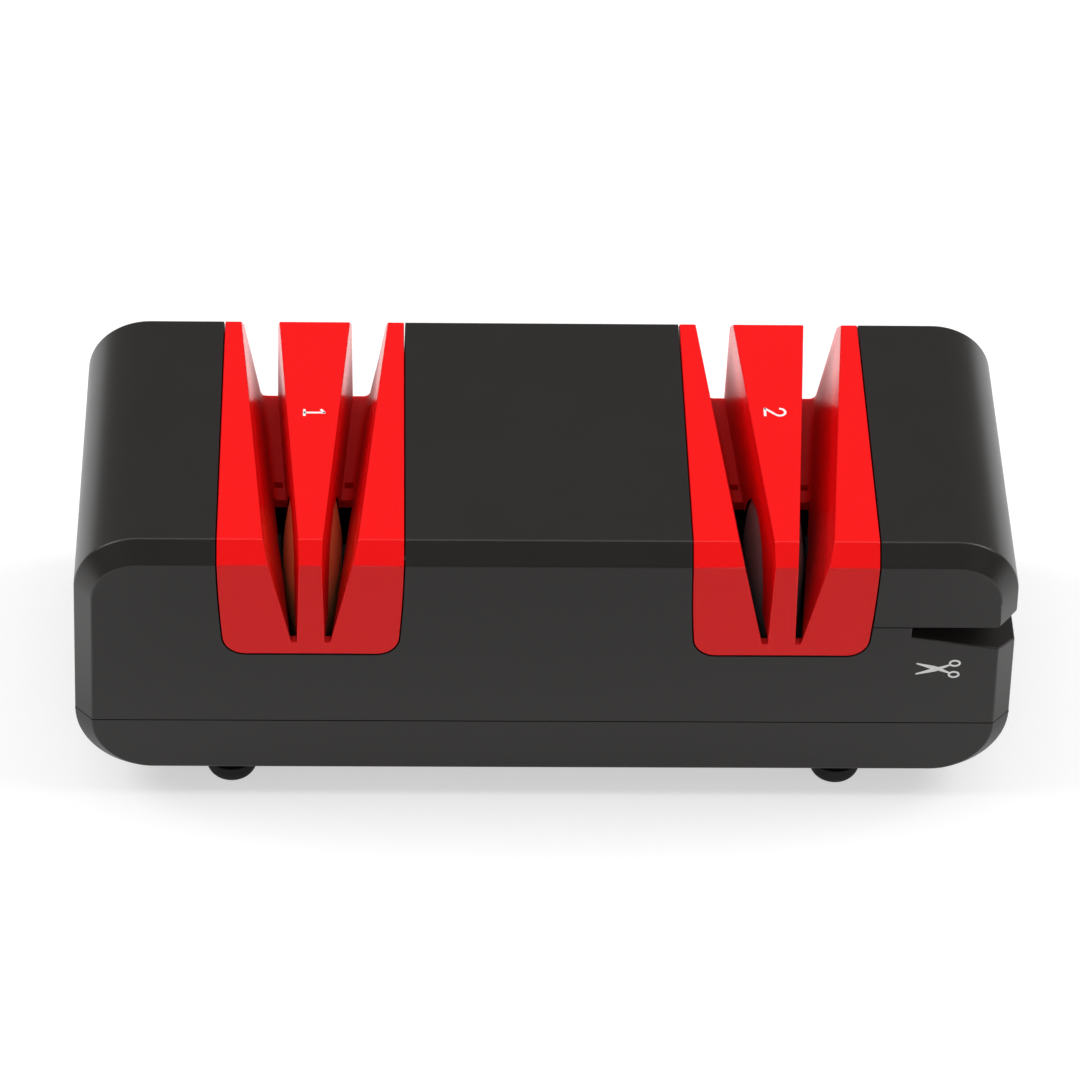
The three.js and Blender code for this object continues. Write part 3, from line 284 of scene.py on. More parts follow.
def bake(piece: Piece) -> Piece:
    """Turns a piece's modifiers into its mesh.

    Args:
        piece: The piece.

    Returns:
        The piece.
    """
    graph = bpy.context.evaluated_depsgraph_get()
    mesh = bpy.data.meshes.new_from_object(piece.evaluated_get(graph))
    old = piece.data
    piece.modifiers.clear()
    piece.data = mesh
    bpy.data.meshes.remove(old)
    mesh.name = piece.name
    return piece


def thicken(piece: Piece, wall: float) -> Piece:
    """Gives a skin its wall, inwards, and bakes it.

    Args:
        piece: The skin.
        wall: Thickness.

    Returns:
        The piece.
    """
    solid = piece.modifiers.new("wall", "SOLIDIFY")
    solid.thickness = wall * MM
    solid.offset = -1
    solid.use_even_offset = True
    solid.use_quality_normals = True
    return bake(piece)


def carve(piece: Piece, tool: Skin, operation: str = "DIFFERENCE") -> Piece:
    """Cuts a shape out of a closed piece or joins it on.

    Args:
        piece: The piece to work on.
        tool: Closed shapes.
        operation: DIFFERENCE or UNION.

    Returns:
        The piece.
    """
    cutter = tool.build("cutter")
    cut = piece.modifiers.new("cut", "BOOLEAN")
    cut.operation = operation
    cut.solver = "EXACT"
    cut.use_self = True
    cut.object = cutter
    bake(piece)
    mesh = cutter.data
    bpy.data.objects.remove(cutter)
    bpy.data.meshes.remove(mesh)
    return piece


def join_flat(piece: Piece, angle: float = 0.15) -> Piece:
    """Joins neighbouring faces that lie in one plane.

    Args:
        piece: The piece.
        angle: Angle in degrees up to which two faces count as one plane.

    Returns:
        The piece.
    """
    work = bmesh.new()
    work.from_mesh(piece.data)
    bmesh.ops.remove_doubles(work, verts=work.verts, dist=MERGE)
    bmesh.ops.dissolve_limit(work, angle_limit=math.radians(angle), verts=work.verts, edges=work.edges)
    work.to_mesh(piece.data)
    work.free()
    return piece


def within(mesh: bpy.types.Mesh, boxes: Sequence[Box]) -> Array:
    """Says which edges have their middle in a box.

    Args:
        mesh: The mesh.
        boxes: Low and high corners of each box.

    Returns:
        True or False for each edge.
    """
    points, ends = read(mesh.vertices, "co", 3), read(mesh.edges, "vertices", 2, np.int32)
    middles = points[ends].mean(axis=1) / MM
    inside = np.zeros(len(middles), bool)
    for low, high in boxes:
        inside |= ((middles >= low) & (middles <= high)).all(axis=1)
    return inside


def sharp_edges(mesh: bpy.types.Mesh, angle: float, room: float, spared: Array) -> tuple[Array, Array]:
    """Parts the sharp edges into outward ones that have room to be rounded and the rest.

    An edge counts when its two faces turn away from each other by the angle or
    more, and no short edge beside it ends at one of its two ends. An edge that
    is dropped may be short itself, so the last test is made three times.

    Args:
        mesh: The mesh.
        angle: Least angle, in degrees.
        room: Least length of the other edges at both ends.
        spared: True for each edge that stays sharp.

    Returns:
        For each edge, whether it is rounded, and whether it stays sharp.
    """
    points, ends = read(mesh.vertices, "co", 3), read(mesh.edges, "vertices", 2, np.int32)
    normals, centres = read(mesh.polygons, "normal", 3), read(mesh.polygons, "center", 3)
    loops = read(mesh.loops, "edge_index", kind=np.int32)
    sizes = read(mesh.polygons, "loop_total", kind=np.int32)
    order = np.argsort(loops, kind="stable")
    face = np.repeat(np.arange(len(sizes)), sizes)[order]
    count = np.bincount(loops, minlength=len(ends))
    first = np.concatenate([[0], np.cumsum(count)[:-1]])
    paired = count == 2
    one, other = face[first[paired]], face[first[paired] + 1]
    turned_away = np.einsum("ij,ij->i", normals[one], normals[other]) < math.cos(math.radians(angle))
    outward = np.einsum("ij,ij->i", normals[one], centres[other] - centres[one]) < 0
    chosen, sharp = np.zeros(len(ends), bool), np.ones(len(ends), bool)
    chosen[paired] = turned_away & outward
    sharp[paired] = turned_away
    length = np.linalg.norm(points[ends[:, 0]] - points[ends[:, 1]], axis=1)
    chosen &= ~spared
    for _ in range(3):
        shortest = np.full(len(points), np.inf)
        np.minimum.at(shortest, ends[~chosen].ravel(), np.repeat(length[~chosen], 2))
        chosen &= (shortest[ends] > room * MM).all(axis=1)
    return chosen, sharp & ~chosen


def bevel(piece: Piece, width: float, segments: int, limit: str) -> bpy.types.Modifier:
    """Adds a rounding of the edges.

    Args:
        piece: The piece.
        width: Width of the rounding.
        segments: Steps of the rounding.
        limit: WEIGHT or ANGLE, by which the edges are picked.

    Returns:
        The modifier.
    """
    made = piece.modifiers.new("edges", "BEVEL")
    made.width = width * MM
    made.segments = segments
    made.limit_method = limit
    made.harden_normals = True
    return made


@dataclass(frozen=True)
class Rounding:
    """How the sharp edges of a piece are rounded over.

    Attributes:
        width: Width of the rounding.
        segments: Steps of the rounding.
        angle: Least angle of an edge that is rounded, in degrees.
        room: Least length of the edges beside it, in widths.
        share: Share of the width that slight edges get.
    """

    width: float
    segments: int = 2
    angle: float = 28.0
    room: float = 1.5
    share: float = 0.33

    def apply(self, piece: Piece, spared: Sequence[Box] = (), slight: Sequence[Box] = ()) -> Piece:
        """Rounds the edges that have room for it.

        Args:
            piece: The piece.
            spared: Low and high corners of boxes whose edges stay sharp.
            slight: Low and high corners of boxes whose edges are rounded less.

        Returns:
            The piece.
        """
        mesh = piece.data
        chosen, left = sharp_edges(mesh, self.angle, self.room * self.width, within(mesh, spared))
        weight = np.where(within(mesh, slight), self.share, 1.0) * chosen
        marks = mesh.attributes
        marks.new("bevel_weight_edge", "FLOAT", "EDGE").data.foreach_set("value", weight.astype(np.float32))
        marks.new("sharp_edge", "BOOLEAN", "EDGE").data.foreach_set("value", left)
        bevel(piece, self.width, self.segments, "WEIGHT").use_clamp_overlap = False
        return piece


# Form of the casing


@dataclass(frozen=True)
class Form:
    """Outer form of the casing, shared by the shells and the guides.

    An outline is an array with one row for each point: centre x and z, direction
    x and z, and radius. A point lies at centre + (radius - inset) * direction, so
    that points on the outer edge follow the chamfer and others, whose direction
    is zero, stay put.

    Attributes:
        half_length: Half the length low on the sides.
        half_top: Half the length at the upper corners.
        bottom: Height of the underside.
        top: Height of the top.
        top_radius: Radius of the upper corners.
        bottom_radius: Radius of the lower corners.
        face_y: Half the depth, at the front and back faces.
        edge_y: Half the depth at the top, where the chamfer starts.
        chamfer: How far the chamfer draws the outline in.
        wall: Thickness of the shells.
        seam: Height of the line between the shells.
        gap: Width of the gaps between pieces.
        steps: Steps of a corner.
    """

    half_length: float = 115.0
    half_top: float = 114.0
    bottom: float = 5.5
    top: float = 80.5
    top_radius: float = 16.0
    bottom_radius: float = 19.0
    face_y: float = 46.0
    edge_y: float = 41.3
    chamfer: float = 4.4
    wall: float = 2.4
    seam: float = 25.5
    gap: float = 0.3
    steps: int = 22

    @property
    def low_centre(self) -> float:
        """Height of the lower corner centres."""
        return self.bottom + self.bottom_radius

    @property
    def high_centre(self) -> float:
        """Height of the upper corner centres."""
        return self.top - self.top_radius

    def corner(self, quarter: int) -> Array:
        """Quarter circle of the outline, counted from the upper right anticlockwise.

        Args:
            quarter: 0 upper right, 1 upper left, 2 lower left, 3 lower right.

        Returns:
            Outline rows.
        """
        upper = quarter < 2
        radius = self.top_radius if upper else self.bottom_radius
        reach = (self.half_top if upper else self.half_length) - radius
        side = 1 if quarter in (0, 3) else -1
        turn = (quarter + np.linspace(0, 1, self.steps + 1)) * np.pi / 2
        rows = np.empty((turn.size, 5))
        rows[:, :2] = side * reach, self.high_centre if upper else self.low_centre
        rows[:, 2:4] = arc((0.0, 0.0), 1.0, turn)
        rows[:, 4] = radius
        return rows

    def flat_top(self, *places: float) -> Array:
        """Outline rows on the flat top.

        Args:
            places: The x of each point.

        Returns:
            Outline rows.
        """
        rows = np.zeros((len(places), 5))
        rows[:, 0] = places
        rows[:, 1:] = self.high_centre, 0, 1, self.top_radius
        return rows

    def side_x(self, height: Array | float) -> Array | float:
        """Half length at a height between the corners: linear from the lower to the upper centres."""
        share = (height - self.low_centre) / (self.high_centre - self.low_centre)
        return self.half_length + (self.half_top - self.half_length) * share

    def end(self, height: float, side: int, slope: float = 0.0) -> Array:
        """Outline row on the left or right end.

        Args:
            height: Height of the point.
            side: 1 for the right end, -1 for the left.
            slope: Rise for each millimetre that the chamfer draws it in.

        Returns:
            One outline row.
        """
        x = side * self.side_x(height)
        return np.array([[x - side, height + slope, side, -slope, 1.0]])

    @staticmethod
    def fixed(points: Array) -> Array:
        """Outline rows for points that stay put."""
        return np.concatenate([points, np.zeros((len(points), 3))], 1)

    def placed(self, outline: Array, inset: float) -> Array:
        """Points of an outline at an inset, kept inside the drawn-in ends.

        Args:
            outline: Outline rows.
            inset: How far the chamfer draws the edge in.

        Returns:
            Points by x and z.
        """
        points = outline[:, :2] + (outline[:, 4:] - inset) * outline[:, 2:4]
        above = points[:, 1] > self.high_centre
        limit = np.where(above, self.half_length, self.side_x(points[:, 1]) - inset)
        points[:, 0] = np.clip(points[:, 0], -limit, limit)
        return points

    def loft(self, outline: Array) -> Array:
        """Outline carried from the front face to the back face, drawn in at the chamfers.

        Args:
            outline: Outline rows.

        Returns:
            Four places by points by 3.
        """
        places = ((-self.face_y, self.chamfer), (-self.edge_y, 0.0),
                  (self.edge_y, 0.0), (self.face_y, self.chamfer))
        return np.array([upright(self.placed(outline, inset), y) for y, inset in places])

    def skin(self, parts: Sequence[tuple[Array, bool]]) -> Skin:
        """Skin of a shell: the loft of a closed outline with its front and back faces.

        Args:
            parts: Outline rows, and whether the surface after each row is closed.

        Returns:
            The skin, open where it is left open.
        """
        outline = np.concatenate([rows for rows, _ in parts])
        closed = np.concatenate([np.full(len(rows), shut) for rows, shut in parts])
        grid = self.loft(outline)
        return Skin().grid(grid, wrap=True, keep=closed).polygon(grid[0]).polygon(grid[-1])


def upright(points: Array, y: float, x: float = 0.0, z: float = 0.0) -> Array:
    """Points by x and z stood up at a y, moved by x and z."""
    return np.stack([points[:, 0] + x, np.full(len(points), y), points[:, 1] + z], -1)


@dataclass(frozen=True)
class GuideForm:
    """Front view of a knife guide, about its own middle.

    Attributes:
        half_width: Half the width at the top.
        height: Height of the front view.
        taper: How far each side draws in towards the foot.
        corner_radius: Radius of the lower corners.
        spacing: Distance of each guide from the middle.
        first: Depth at which the sides start, below the top edge.
        steps: Points on a side.
    """

    half_width: float = 22.4
    height: float = 32.9
    taper: float = 1.5
    corner_radius: float = 5.5
    spacing: float = 57.0
    first: float = 5.4
    steps: int = 8

    def half_at(self, depth: Array | float) -> Array | float:
        """Half width at a depth: the full half width less a share that grows with the depth squared."""
        return self.half_width - self.taper * (depth / self.height) ** 2

    def side(self, top: float, first: float, grow: float = 0.0) -> Array:
        """Right side of the front view, from a depth down and round the lower corner.

        Args:
            top: Height of the casing's top.
            first: Depth at which it starts.
            grow: Clearance round it.

        Returns:
            Points by x and z.
        """
        last = self.height - self.corner_radius
        depth = np.linspace(first, last, self.steps)
        turn = np.linspace(0, -np.pi / 2, self.steps + 1)[1:]
        side = np.stack([self.half_at(depth) + grow, top - depth], -1)
        centre = (self.half_at(last) - self.corner_radius, top - last)
        return np.concatenate([side, arc(centre, self.corner_radius + grow, turn)])

    def pocket(self, middle: float, top: float, first: float, last: float, grow: float) -> Array:
        """Outline of the cut-out for a guide, from its right side down and up its left side.

        Args:
            middle: The guide's x.
            top: Height of the casing's top.
            first: Depth at which the right side starts.
            last: Depth at which the left side ends.
            grow: Clearance round the guide.

        Returns:
            Points by x and z.
        """
        right = self.side(top, first, grow)
        left = self.side(top, last, grow)[::-1] * (-1, 1)
        return np.concatenate([right, left]) + (middle, 0)


# Finishes


class Tree:
    """Short hand for making and joining nodes."""

    def __init__(self, tree: Group) -> None:
        """Keeps the tree that it adds to."""
        self.tree = tree

    def add(self, kind: str, inputs: dict[Any, Any] | None = None, **settings: Any) -> bpy.types.Node:
        """Adds a node.

        Args:
            kind: Node type, without its ShaderNode prefix.
            inputs: Value, or output socket to join, for each input.
            settings: The node's own options.

        Returns:
            The node.
        """
        node = self.tree.nodes.new(kind if kind.startswith("Node") else f"ShaderNode{kind}")
        for name, value in settings.items():
            setattr(node, name, value)
        for socket, value in (inputs or {}).items():
            if isinstance(value, Socket):
                self.tree.links.new(value, node.inputs[socket])
            else:
                node.inputs[socket].default_value = value
        return node

    def maths(self, operation: str, *values: Any) -> Socket:
        """Adds a Math node and returns its output."""
        return self.add("Math", dict(enumerate(values)), operation=operation).outputs[0]

    def noise(self, place: Socket, scale: Any, detail: float) -> Socket:
        """Adds a noise and returns its value."""
        return self.add("TexNoise", {"Vector": place, "Scale": scale, "Detail": detail}).outputs["Fac"]

    def smooth(self, value: Socket, low: float, high: float, first: float = 0.0, last: float = 1.0) -> Socket:
        """Smooth step from the first to the last level while a value goes from low to high."""
        inputs = {0: value, 1: low, 2: high, 3: first, 4: last}
        return self.add("MapRange", inputs, interpolation_type="SMOOTHSTEP").outputs[0]

    def blend(self, share: Socket, one: Any, other: Any) -> Socket:
        """Mixes a second colour into a first by a share."""
        return self.add("Mix", {0: share, 6: one, 7: other}, data_type="RGBA").outputs[2]

    def brighter(self, colour: Socket, level: Socket) -> Socket:
        """Multiplies a colour by a level."""
        return self.add("VectorMath", {0: colour, "Scale": level}, operation="SCALE").outputs[0]

    def parts(self, vector: Any) -> Any:
        """Splits a vector and returns its X, Y and Z outputs."""
        return self.add("SeparateXYZ", {0: vector}).outputs

    def from_shaft(self, place: Socket) -> Socket:
        """Distance from the shaft's line: the length of the place's Y and Z from the shaft.

        Args:
            place: The place, in metres.

        Returns:
            The distance, in metres.
        """
        to_shaft = (0.0, -SHAFT[0] * MM, -SHAFT[1] * MM)
        centred = self.add("VectorMath", {0: place, 1: to_shaft}, operation="ADD").outputs[0]
        flat = self.add("VectorMath", {0: centred, 1: (0.0, 1.0, 1.0)}, operation="MULTIPLY").outputs[0]
        return self.add("VectorMath", {0: flat}, operation="LENGTH").outputs["Value"]

    def group(self, group: Group, **inputs: Any) -> bpy.types.Node:
        """Places a node group with its inputs set or joined."""
        return self.add("Group", inputs, node_tree=group)

    def give(self, out: Any, **values: Socket) -> Group:
        """Joins values to a group's outputs.

        Args:
            out: The output node's inputs.
            values: What each output gives.

        Returns:
            The group.
        """
        for name, value in values.items():
            self.tree.links.new(value, out[name])
        return self.tree


def effect(name: str, inputs: str, outputs: str) -> tuple[Tree, Any, Any]:
    """Starts a shader node group.

    Args:
        name: Name of the group.
        inputs: Names of the inputs, in one text.
        outputs: Names of the outputs, in one text.

    Returns:
        The tree, its input node's outputs and its output node's inputs.
    """
    kinds = {"Vector": "Vector", "Colour": "Color", "Speck": "Color"}
    group = bpy.data.node_groups.new(name, "ShaderNodeTree")
    for way, sockets in (("INPUT", inputs), ("OUTPUT", outputs)):
        for socket in sockets.split():
            kind = f"NodeSocket{kinds.get(socket, 'Float')}"
            group.interface.new_socket(name=socket, in_out=way, socket_type=kind)
    tree = Tree(group)
    return tree, tree.add("NodeGroupInput").outputs, tree.add("NodeGroupOutput").inputs


class Effects:
    """Node groups that several finishes share, each made once."""

    def __init__(self) -> None:
        """Makes every group."""
        self.mottle = self._mottle()
        self.grain = self._grain()
        self.strokes = self._strokes()
        self.rings = self._rings()
        self.specks = self._specks()
        self.dust = self._dust()
        self.slot_shade = self._slot_shade()
        self.flank_light = self._flank_light()

    @staticmethod
    def _mottle() -> Group:
        """Slow cloudy change of a colour's brightness: 1 + amount * (noise - one half), and the noise.

        Returns:
            The group.
        """
        tree, given, out = effect("cloudy_colour", "Vector Colour Scale Amount", "Colour Mask")
        cloud = tree.noise(given["Vector"], given["Scale"], detail=4.0)
        swing = tree.maths("MULTIPLY_ADD", cloud, given["Amount"], 1.0)
        level = tree.maths("MULTIPLY_ADD", given["Amount"], -0.5, swing)
        return tree.give(out, Colour=tree.brighter(given["Colour"], level), Mask=cloud)

    @staticmethod
    def _grain() -> Group:
        """Fine moulded texture: noise as a height.

        Returns:
            The group.
        """
        tree, given, out = effect("fine_grain", "Vector Scale Amount", "Height")
        noise = tree.noise(given["Vector"], given["Scale"], detail=2.0)
        return tree.give(out, Height=tree.maths("MULTIPLY", noise, given["Amount"]))

    @staticmethod
    def _strokes() -> Group:
        """Brushed lines: noise drawn out along X, as a height and a mask.

        Returns:
            The group.
        """
        stretch = (0.04, 1.0, 1.0)
        tree, given, out = effect("brushed_strokes", "Vector Scale Amount", "Height Mask")
        drawn = tree.add("Mapping", {"Vector": given["Vector"], "Scale": stretch}).outputs[0]
        noise = tree.noise(drawn, given["Scale"], detail=3.0)
        return tree.give(out, Height=tree.maths("MULTIPLY", noise, given["Amount"]), Mask=noise)

    @staticmethod
    def _rings() -> Group:
        """Turning marks: the sine of the distance from the shaft's line, broken up by noise.

        Returns:
            The group.
        """
        wander = 3.0
        tree, given, out = effect("turned_rings", "Vector Spacing Amount", "Height Mask")
        turns = tree.maths("DIVIDE", tree.from_shaft(given["Vector"]), given["Spacing"])
        noise = tree.noise(given["Vector"], scale=260.0, detail=2.0)
        phase = tree.maths("MULTIPLY_ADD", noise, wander, turns)
        wave = tree.maths("MULTIPLY_ADD", tree.maths("SINE", phase), 0.5, 0.5)
        return tree.give(out, Height=tree.maths("MULTIPLY", wave, given["Amount"]), Mask=wave)

    @staticmethod
    def _specks() -> Group:
        """Bonded grit: cells of a second colour in the first, and their height.

        Returns:
            The group.
        """
        speck_size = 0.32
        tree, given, out = effect("bonded_specks", "Vector Colour Speck Scale Amount", "Colour Height")
        cells = tree.add("TexVoronoi", {"Vector": given["Vector"], "Scale": given["Scale"]})
        cells = cells.outputs["Distance"]
        inside = tree.maths("LESS_THAN", cells, speck_size)
        colour = tree.blend(inside, given["Colour"], given["Speck"])
        return tree.give(out, Colour=colour, Height=tree.maths("MULTIPLY", cells, given["Amount"]))

    @staticmethod
    def _dust() -> Group:
        """Thin pale dust where a surface faces up and a slow noise is high.

        Returns:
            The group.
        """
        pale = (0.35, 0.32, 0.28, 1.0)
        tree, given, out = effect("settled_dust", "Vector Colour Amount", "Colour Mask")
        up = tree.maths("MAXIMUM", tree.parts(tree.add("NewGeometry").outputs["Normal"])["Z"], 0.0)
        cloud = tree.noise(given["Vector"], scale=45.0, detail=5.0)
        mask = tree.maths("MULTIPLY", tree.maths("MULTIPLY", up, cloud), given["Amount"])
        return tree.give(out, Colour=tree.blend(mask, given["Colour"], pale), Mask=mask)

    @staticmethod
    def _flank_light() -> Group:
        """Painted light on a wheel's flank: the colour grows brighter with the distance from the shaft's
        line.

        Returns:
            The group.
        """
        near, far = 0.01, 0.022
        tree, given, out = effect("painted_light_on_flank", "Vector Colour Amount", "Colour")
        band = tree.smooth(tree.from_shaft(given["Vector"]), near, far)
        level = tree.maths("MULTIPLY_ADD", band, given["Amount"], 1.0)
        return tree.give(out, Colour=tree.brighter(given["Colour"], level))

    @staticmethod
    def _slot_shade() -> Group:
        """Painted shade deep in the slots: darker with the depth under the top, none on the end faces.

        Returns:
            The group.
        """
        shade_start, full = 0.003, 0.026
        end_shade_start, end_full = 0.0458, 0.0448
        # Colour of the painted shade at its darkest.
        deep_shade = (0.04, 0.002, 0.003, 1.0)
        patches, least = 0.5, 0.75
        slope = Form.chamfer / (Form.face_y - Form.edge_y)
        tree, given, out = effect("painted_shade_in_slots", "Vector Colour Amount", "Colour Mask")
        place = tree.parts(given["Vector"])
        reach = tree.maths("ABSOLUTE", place["Y"])
        past = tree.maths("MAXIMUM", tree.maths("SUBTRACT", reach, Form.edge_y * MM), 0.0)
        top = tree.maths("SUBTRACT", Form.top * MM, tree.maths("MULTIPLY", past, slope))
        deep = tree.smooth(tree.maths("SUBTRACT", top, place["Z"]), shade_start, full)
        inside = tree.smooth(reach, end_shade_start, end_full)
        noise = tree.noise(given["Vector"], scale=120.0, detail=5.0)
        patchy = tree.maths("MULTIPLY_ADD", noise, patches, least)
        mask = tree.maths("MULTIPLY", tree.maths("MULTIPLY", deep, inside), patchy)
        share = tree.maths("MULTIPLY", mask, given["Amount"])
        return tree.give(out, Colour=tree.blend(share, given["Colour"], deep_shade), Mask=mask)


class Pattern(Enum):
    """What a finish's surface is broken up by."""

    GRAIN = "moulded grain"
    STROKES = "brushed lines"
    RINGS = "turning marks"
    SPECKS = "bonded grit"


@dataclass(frozen=True)
class Finish:
    """One procedural finish.

    Attributes:
        colour: Base colour, linear.
        roughness: Mean roughness.
        metallic: Metallic value.
        specular: Specular level.
        pattern: What breaks the surface up.
        scale: Pattern's scale per metre, or the spacing of turning marks in metres.
        height: Depth of the pattern in metres.
        cloud: Share by which the colour's brightness swings.
        cloud_scale: Scale of that swing per metre.
        swing: How far the roughness swings with the pattern.
        speck: Second colour of bonded grit.
        coat: Weight of a clear coat.
        coat_roughness: Roughness of the clear coat.
        dust: Share of settled dust.
        slot_shade: Share of painted shade deep in the slots, darker with the depth.
        slot_shade_roughness: How much rougher the surface is where that shade is painted, for each share of
            it.
        flank_light: Share of painted light by which a wheel's colour is brighter towards its rim.
    """

    colour: Colour
    roughness: float = 0.5
    metallic: float = 0.0
    specular: float = 0.5
    pattern: Pattern = Pattern.GRAIN
    scale: float = 2200.0
    height: float = 2e-5
    cloud: float = 0.06
    cloud_scale: float = 70.0
    swing: float = 0.06
    speck: Colour = (0.1, 0.1, 0.1)
    coat: float = 0.0
    coat_roughness: float = 0.12
    dust: float = 0.0
    slot_shade: float = 0.0
    slot_shade_roughness: float = 1.6
    flank_light: float = 0.0

    def marks(self, tree: Tree, effects: Effects, place: Socket) -> bpy.types.Node:
        """Places the pattern's node group.

        Args:
            tree: The material's tree.
            effects: The node groups.
            place: The place on the piece.

        Returns:
            The node, with a height and, as the pattern has them, a mask and a colour.
        """
        inputs = dict(Vector=place, Amount=self.height)
        if self.pattern is Pattern.RINGS:
            return tree.group(effects.rings, Spacing=self.scale, **inputs)
        inputs["Scale"] = self.scale
        if self.pattern is Pattern.SPECKS:
            colours = dict(Colour=(*self.colour, 1.0), Speck=(*self.speck, 1.0))
            return tree.group(effects.specks, **colours, **inputs)
        return tree.group(effects.strokes if self.pattern is Pattern.STROKES else effects.grain, **inputs)

    def material(self, name: str, effects: Effects) -> bpy.types.Material:
        """Makes the material from the shared effects.

        Args:
            name: The material's name.
            effects: The node groups.

        Returns:
            The material.
        """
        made = bpy.data.materials.new(name)
        made.use_nodes = True
        made.diffuse_color = (*self.colour, 1.0)
        tree = Tree(made.node_tree)
        shader = made.node_tree.nodes["Principled BSDF"].inputs
        place = tree.add("TexCoord").outputs["Object"]
        marks = self.marks(tree, effects, place)
        tint = marks.outputs["Colour"] if "Colour" in marks.outputs else (*self.colour, 1.0)
        cloudy = tree.group(effects.mottle, Vector=place, Colour=tint, Scale=self.cloud_scale,
                            Amount=self.cloud)
        tint = cloudy.outputs["Colour"]
        # Settled dust, and painted light that brightens a wheel's flank towards its rim.
        for group, amount in ((effects.dust, self.dust), (effects.flank_light, self.flank_light)):
            if amount:
                tint = tree.group(group, Vector=place, Colour=tint, Amount=amount).outputs["Colour"]
        mask = marks.outputs["Mask"] if "Mask" in marks.outputs else cloudy.outputs["Mask"]
        rough = tree.maths("MULTIPLY_ADD", mask, self.swing, self.roughness - self.swing / 2)
        # Painted shade deep in the slots darkens the colour and roughens the surface.
        if self.slot_shade:
            deep_shade = tree.group(effects.slot_shade, Vector=place, Colour=tint, Amount=self.slot_shade).outputs
            tint = deep_shade["Colour"]
            rough = tree.maths("MULTIPLY_ADD", deep_shade["Mask"], self.slot_shade_roughness * self.slot_shade, rough)
        bump = tree.add("Bump", {"Strength": 1.0, "Distance": 1.0, "Height": marks.outputs["Height"]})
        tree.give(shader, **{"Base Color": tint, "Roughness": rough, "Normal": bump.outputs[0]})
        for socket, value in (("Metallic", self.metallic), ("Specular IOR Level", self.specular),
                              ("Coat Weight", self.coat), ("Coat Roughness", self.coat_roughness)):
            shader[socket].default_value = value
        return made


METAL = dict(metallic=1.0, pattern=Pattern.STROKES, scale=900.0, height=4e-6, swing=0.16, cloud=0.08)
TURNED = dict(metallic=1.0, pattern=Pattern.RINGS, scale=0.00009, height=3e-6, swing=0.1, cloud=0.08)
GRIT = dict(pattern=Pattern.SPECKS, scale=2600.0, height=5e-5, swing=0.12, cloud=0.18)

FINISHES: dict[str, Finish] = {
    "black_shell": Finish((0.0155, 0.0134, 0.0122), 0.36, scale=3200.0, height=9e-6, cloud=0.1, dust=0.003),
    # The red guide carries painted shade deep in its slots.
    "red_guide": Finish((0.87, 0.0045, 0.0055), 0.24, specular=0.3, scale=420.0, height=3e-6, cloud=0.03,
                        swing=0.04, slot_shade=0.2),
    # The grit wheels carry painted light on their flanks, brighter towards the rim.
    "coarse_grit": Finish((0.88, 0.32, 0.12), 0.36, 0.2, speck=(0.98, 0.5, 0.22), flank_light=0.3, **GRIT),
    "fine_grit": Finish((0.2, 0.19, 0.2), 0.4, 0.15, speck=(0.3, 0.28, 0.29), flank_light=0.4, **GRIT),
    "white_grit": Finish((0.48, 0.45, 0.38), 0.8, speck=(0.62, 0.59, 0.52), **GRIT),
    "steel": Finish((0.42, 0.43, 0.44), 0.24, **TURNED),
    "cast_alloy": Finish((0.02, 0.016, 0.017), 0.8, specular=0.2, scale=1500.0, cloud=0.12),
    "zinc_steel": Finish((0.4, 0.41, 0.42), 0.32, **METAL),
    "iron": Finish((0.05, 0.053, 0.058), metallic=0.7, pattern=Pattern.STROKES, scale=1800.0, height=1e-5),
    "copper": Finish((0.5, 0.17, 0.06), 0.28, **TURNED),
    "bronze": Finish((0.4, 0.25, 0.08), 0.45, metallic=0.9, scale=3800.0, cloud=0.16),
    "carbon": Finish((0.016, 0.016, 0.018), 0.6, specular=0.4, scale=2800.0, cloud=0.2),
    "ferrite": Finish((0.026, 0.026, 0.029), 0.55, metallic=0.2, scale=3000.0, cloud=0.15),
    "rubber": Finish((0.0075, 0.0075, 0.008), 0.62, specular=0.35, scale=3600.0, height=3e-5, cloud=0.15,
                     dust=0.01),
    "black_plastic": Finish((0.0115, 0.0115, 0.012), 0.36, scale=2600.0, height=8e-6, cloud=0.08),
    "swarf_tray": Finish((0.0115, 0.0115, 0.012), scale=2600.0, cloud=0.08, dust=1.4),
    "switch_red": Finish((0.5, 0.01, 0.012), 0.22, scale=500.0, height=4e-6, cloud=0.04),
    "grey_plastic": Finish((0.16, 0.165, 0.17), scale=2400.0, height=1.5e-5),
    "board": Finish((0.02, 0.12, 0.045), 0.4, pattern=Pattern.STROKES, scale=1400.0, height=8e-6, coat=0.4),
    "sleeve": Finish((0.012, 0.03, 0.13), 0.3, scale=700.0, height=6e-6, coat=0.3),
    "lead_red": Finish((0.43, 0.014, 0.014), 0.42, scale=1200.0, height=6e-6),
    "lead_black": Finish((0.01, 0.01, 0.01), 0.42, scale=1200.0, height=6e-6),
    "print_white": Finish((0.9, 0.9, 0.89), scale=2600.0, height=5e-6, cloud=0.1),
}


class Paintbox:
    """Makes each material once and puts it on pieces."""

    def __init__(self) -> None:
        """Makes the shared effects and the materials."""
        effects = Effects()
        self._made = {name: finish.material(name, effects) for name, finish in FINISHES.items()}

    def dress(self, piece: Piece, name: str) -> None:
        """Gives a piece one finish on all its faces.

        Args:
            piece: The piece.
            name: Name of the finish.
        """
        mesh = piece.data
        mesh.materials.clear()
        mesh.materials.append(self._made[name])
        mesh.polygons.foreach_set("material_index", np.zeros(len(mesh.polygons), np.int32))


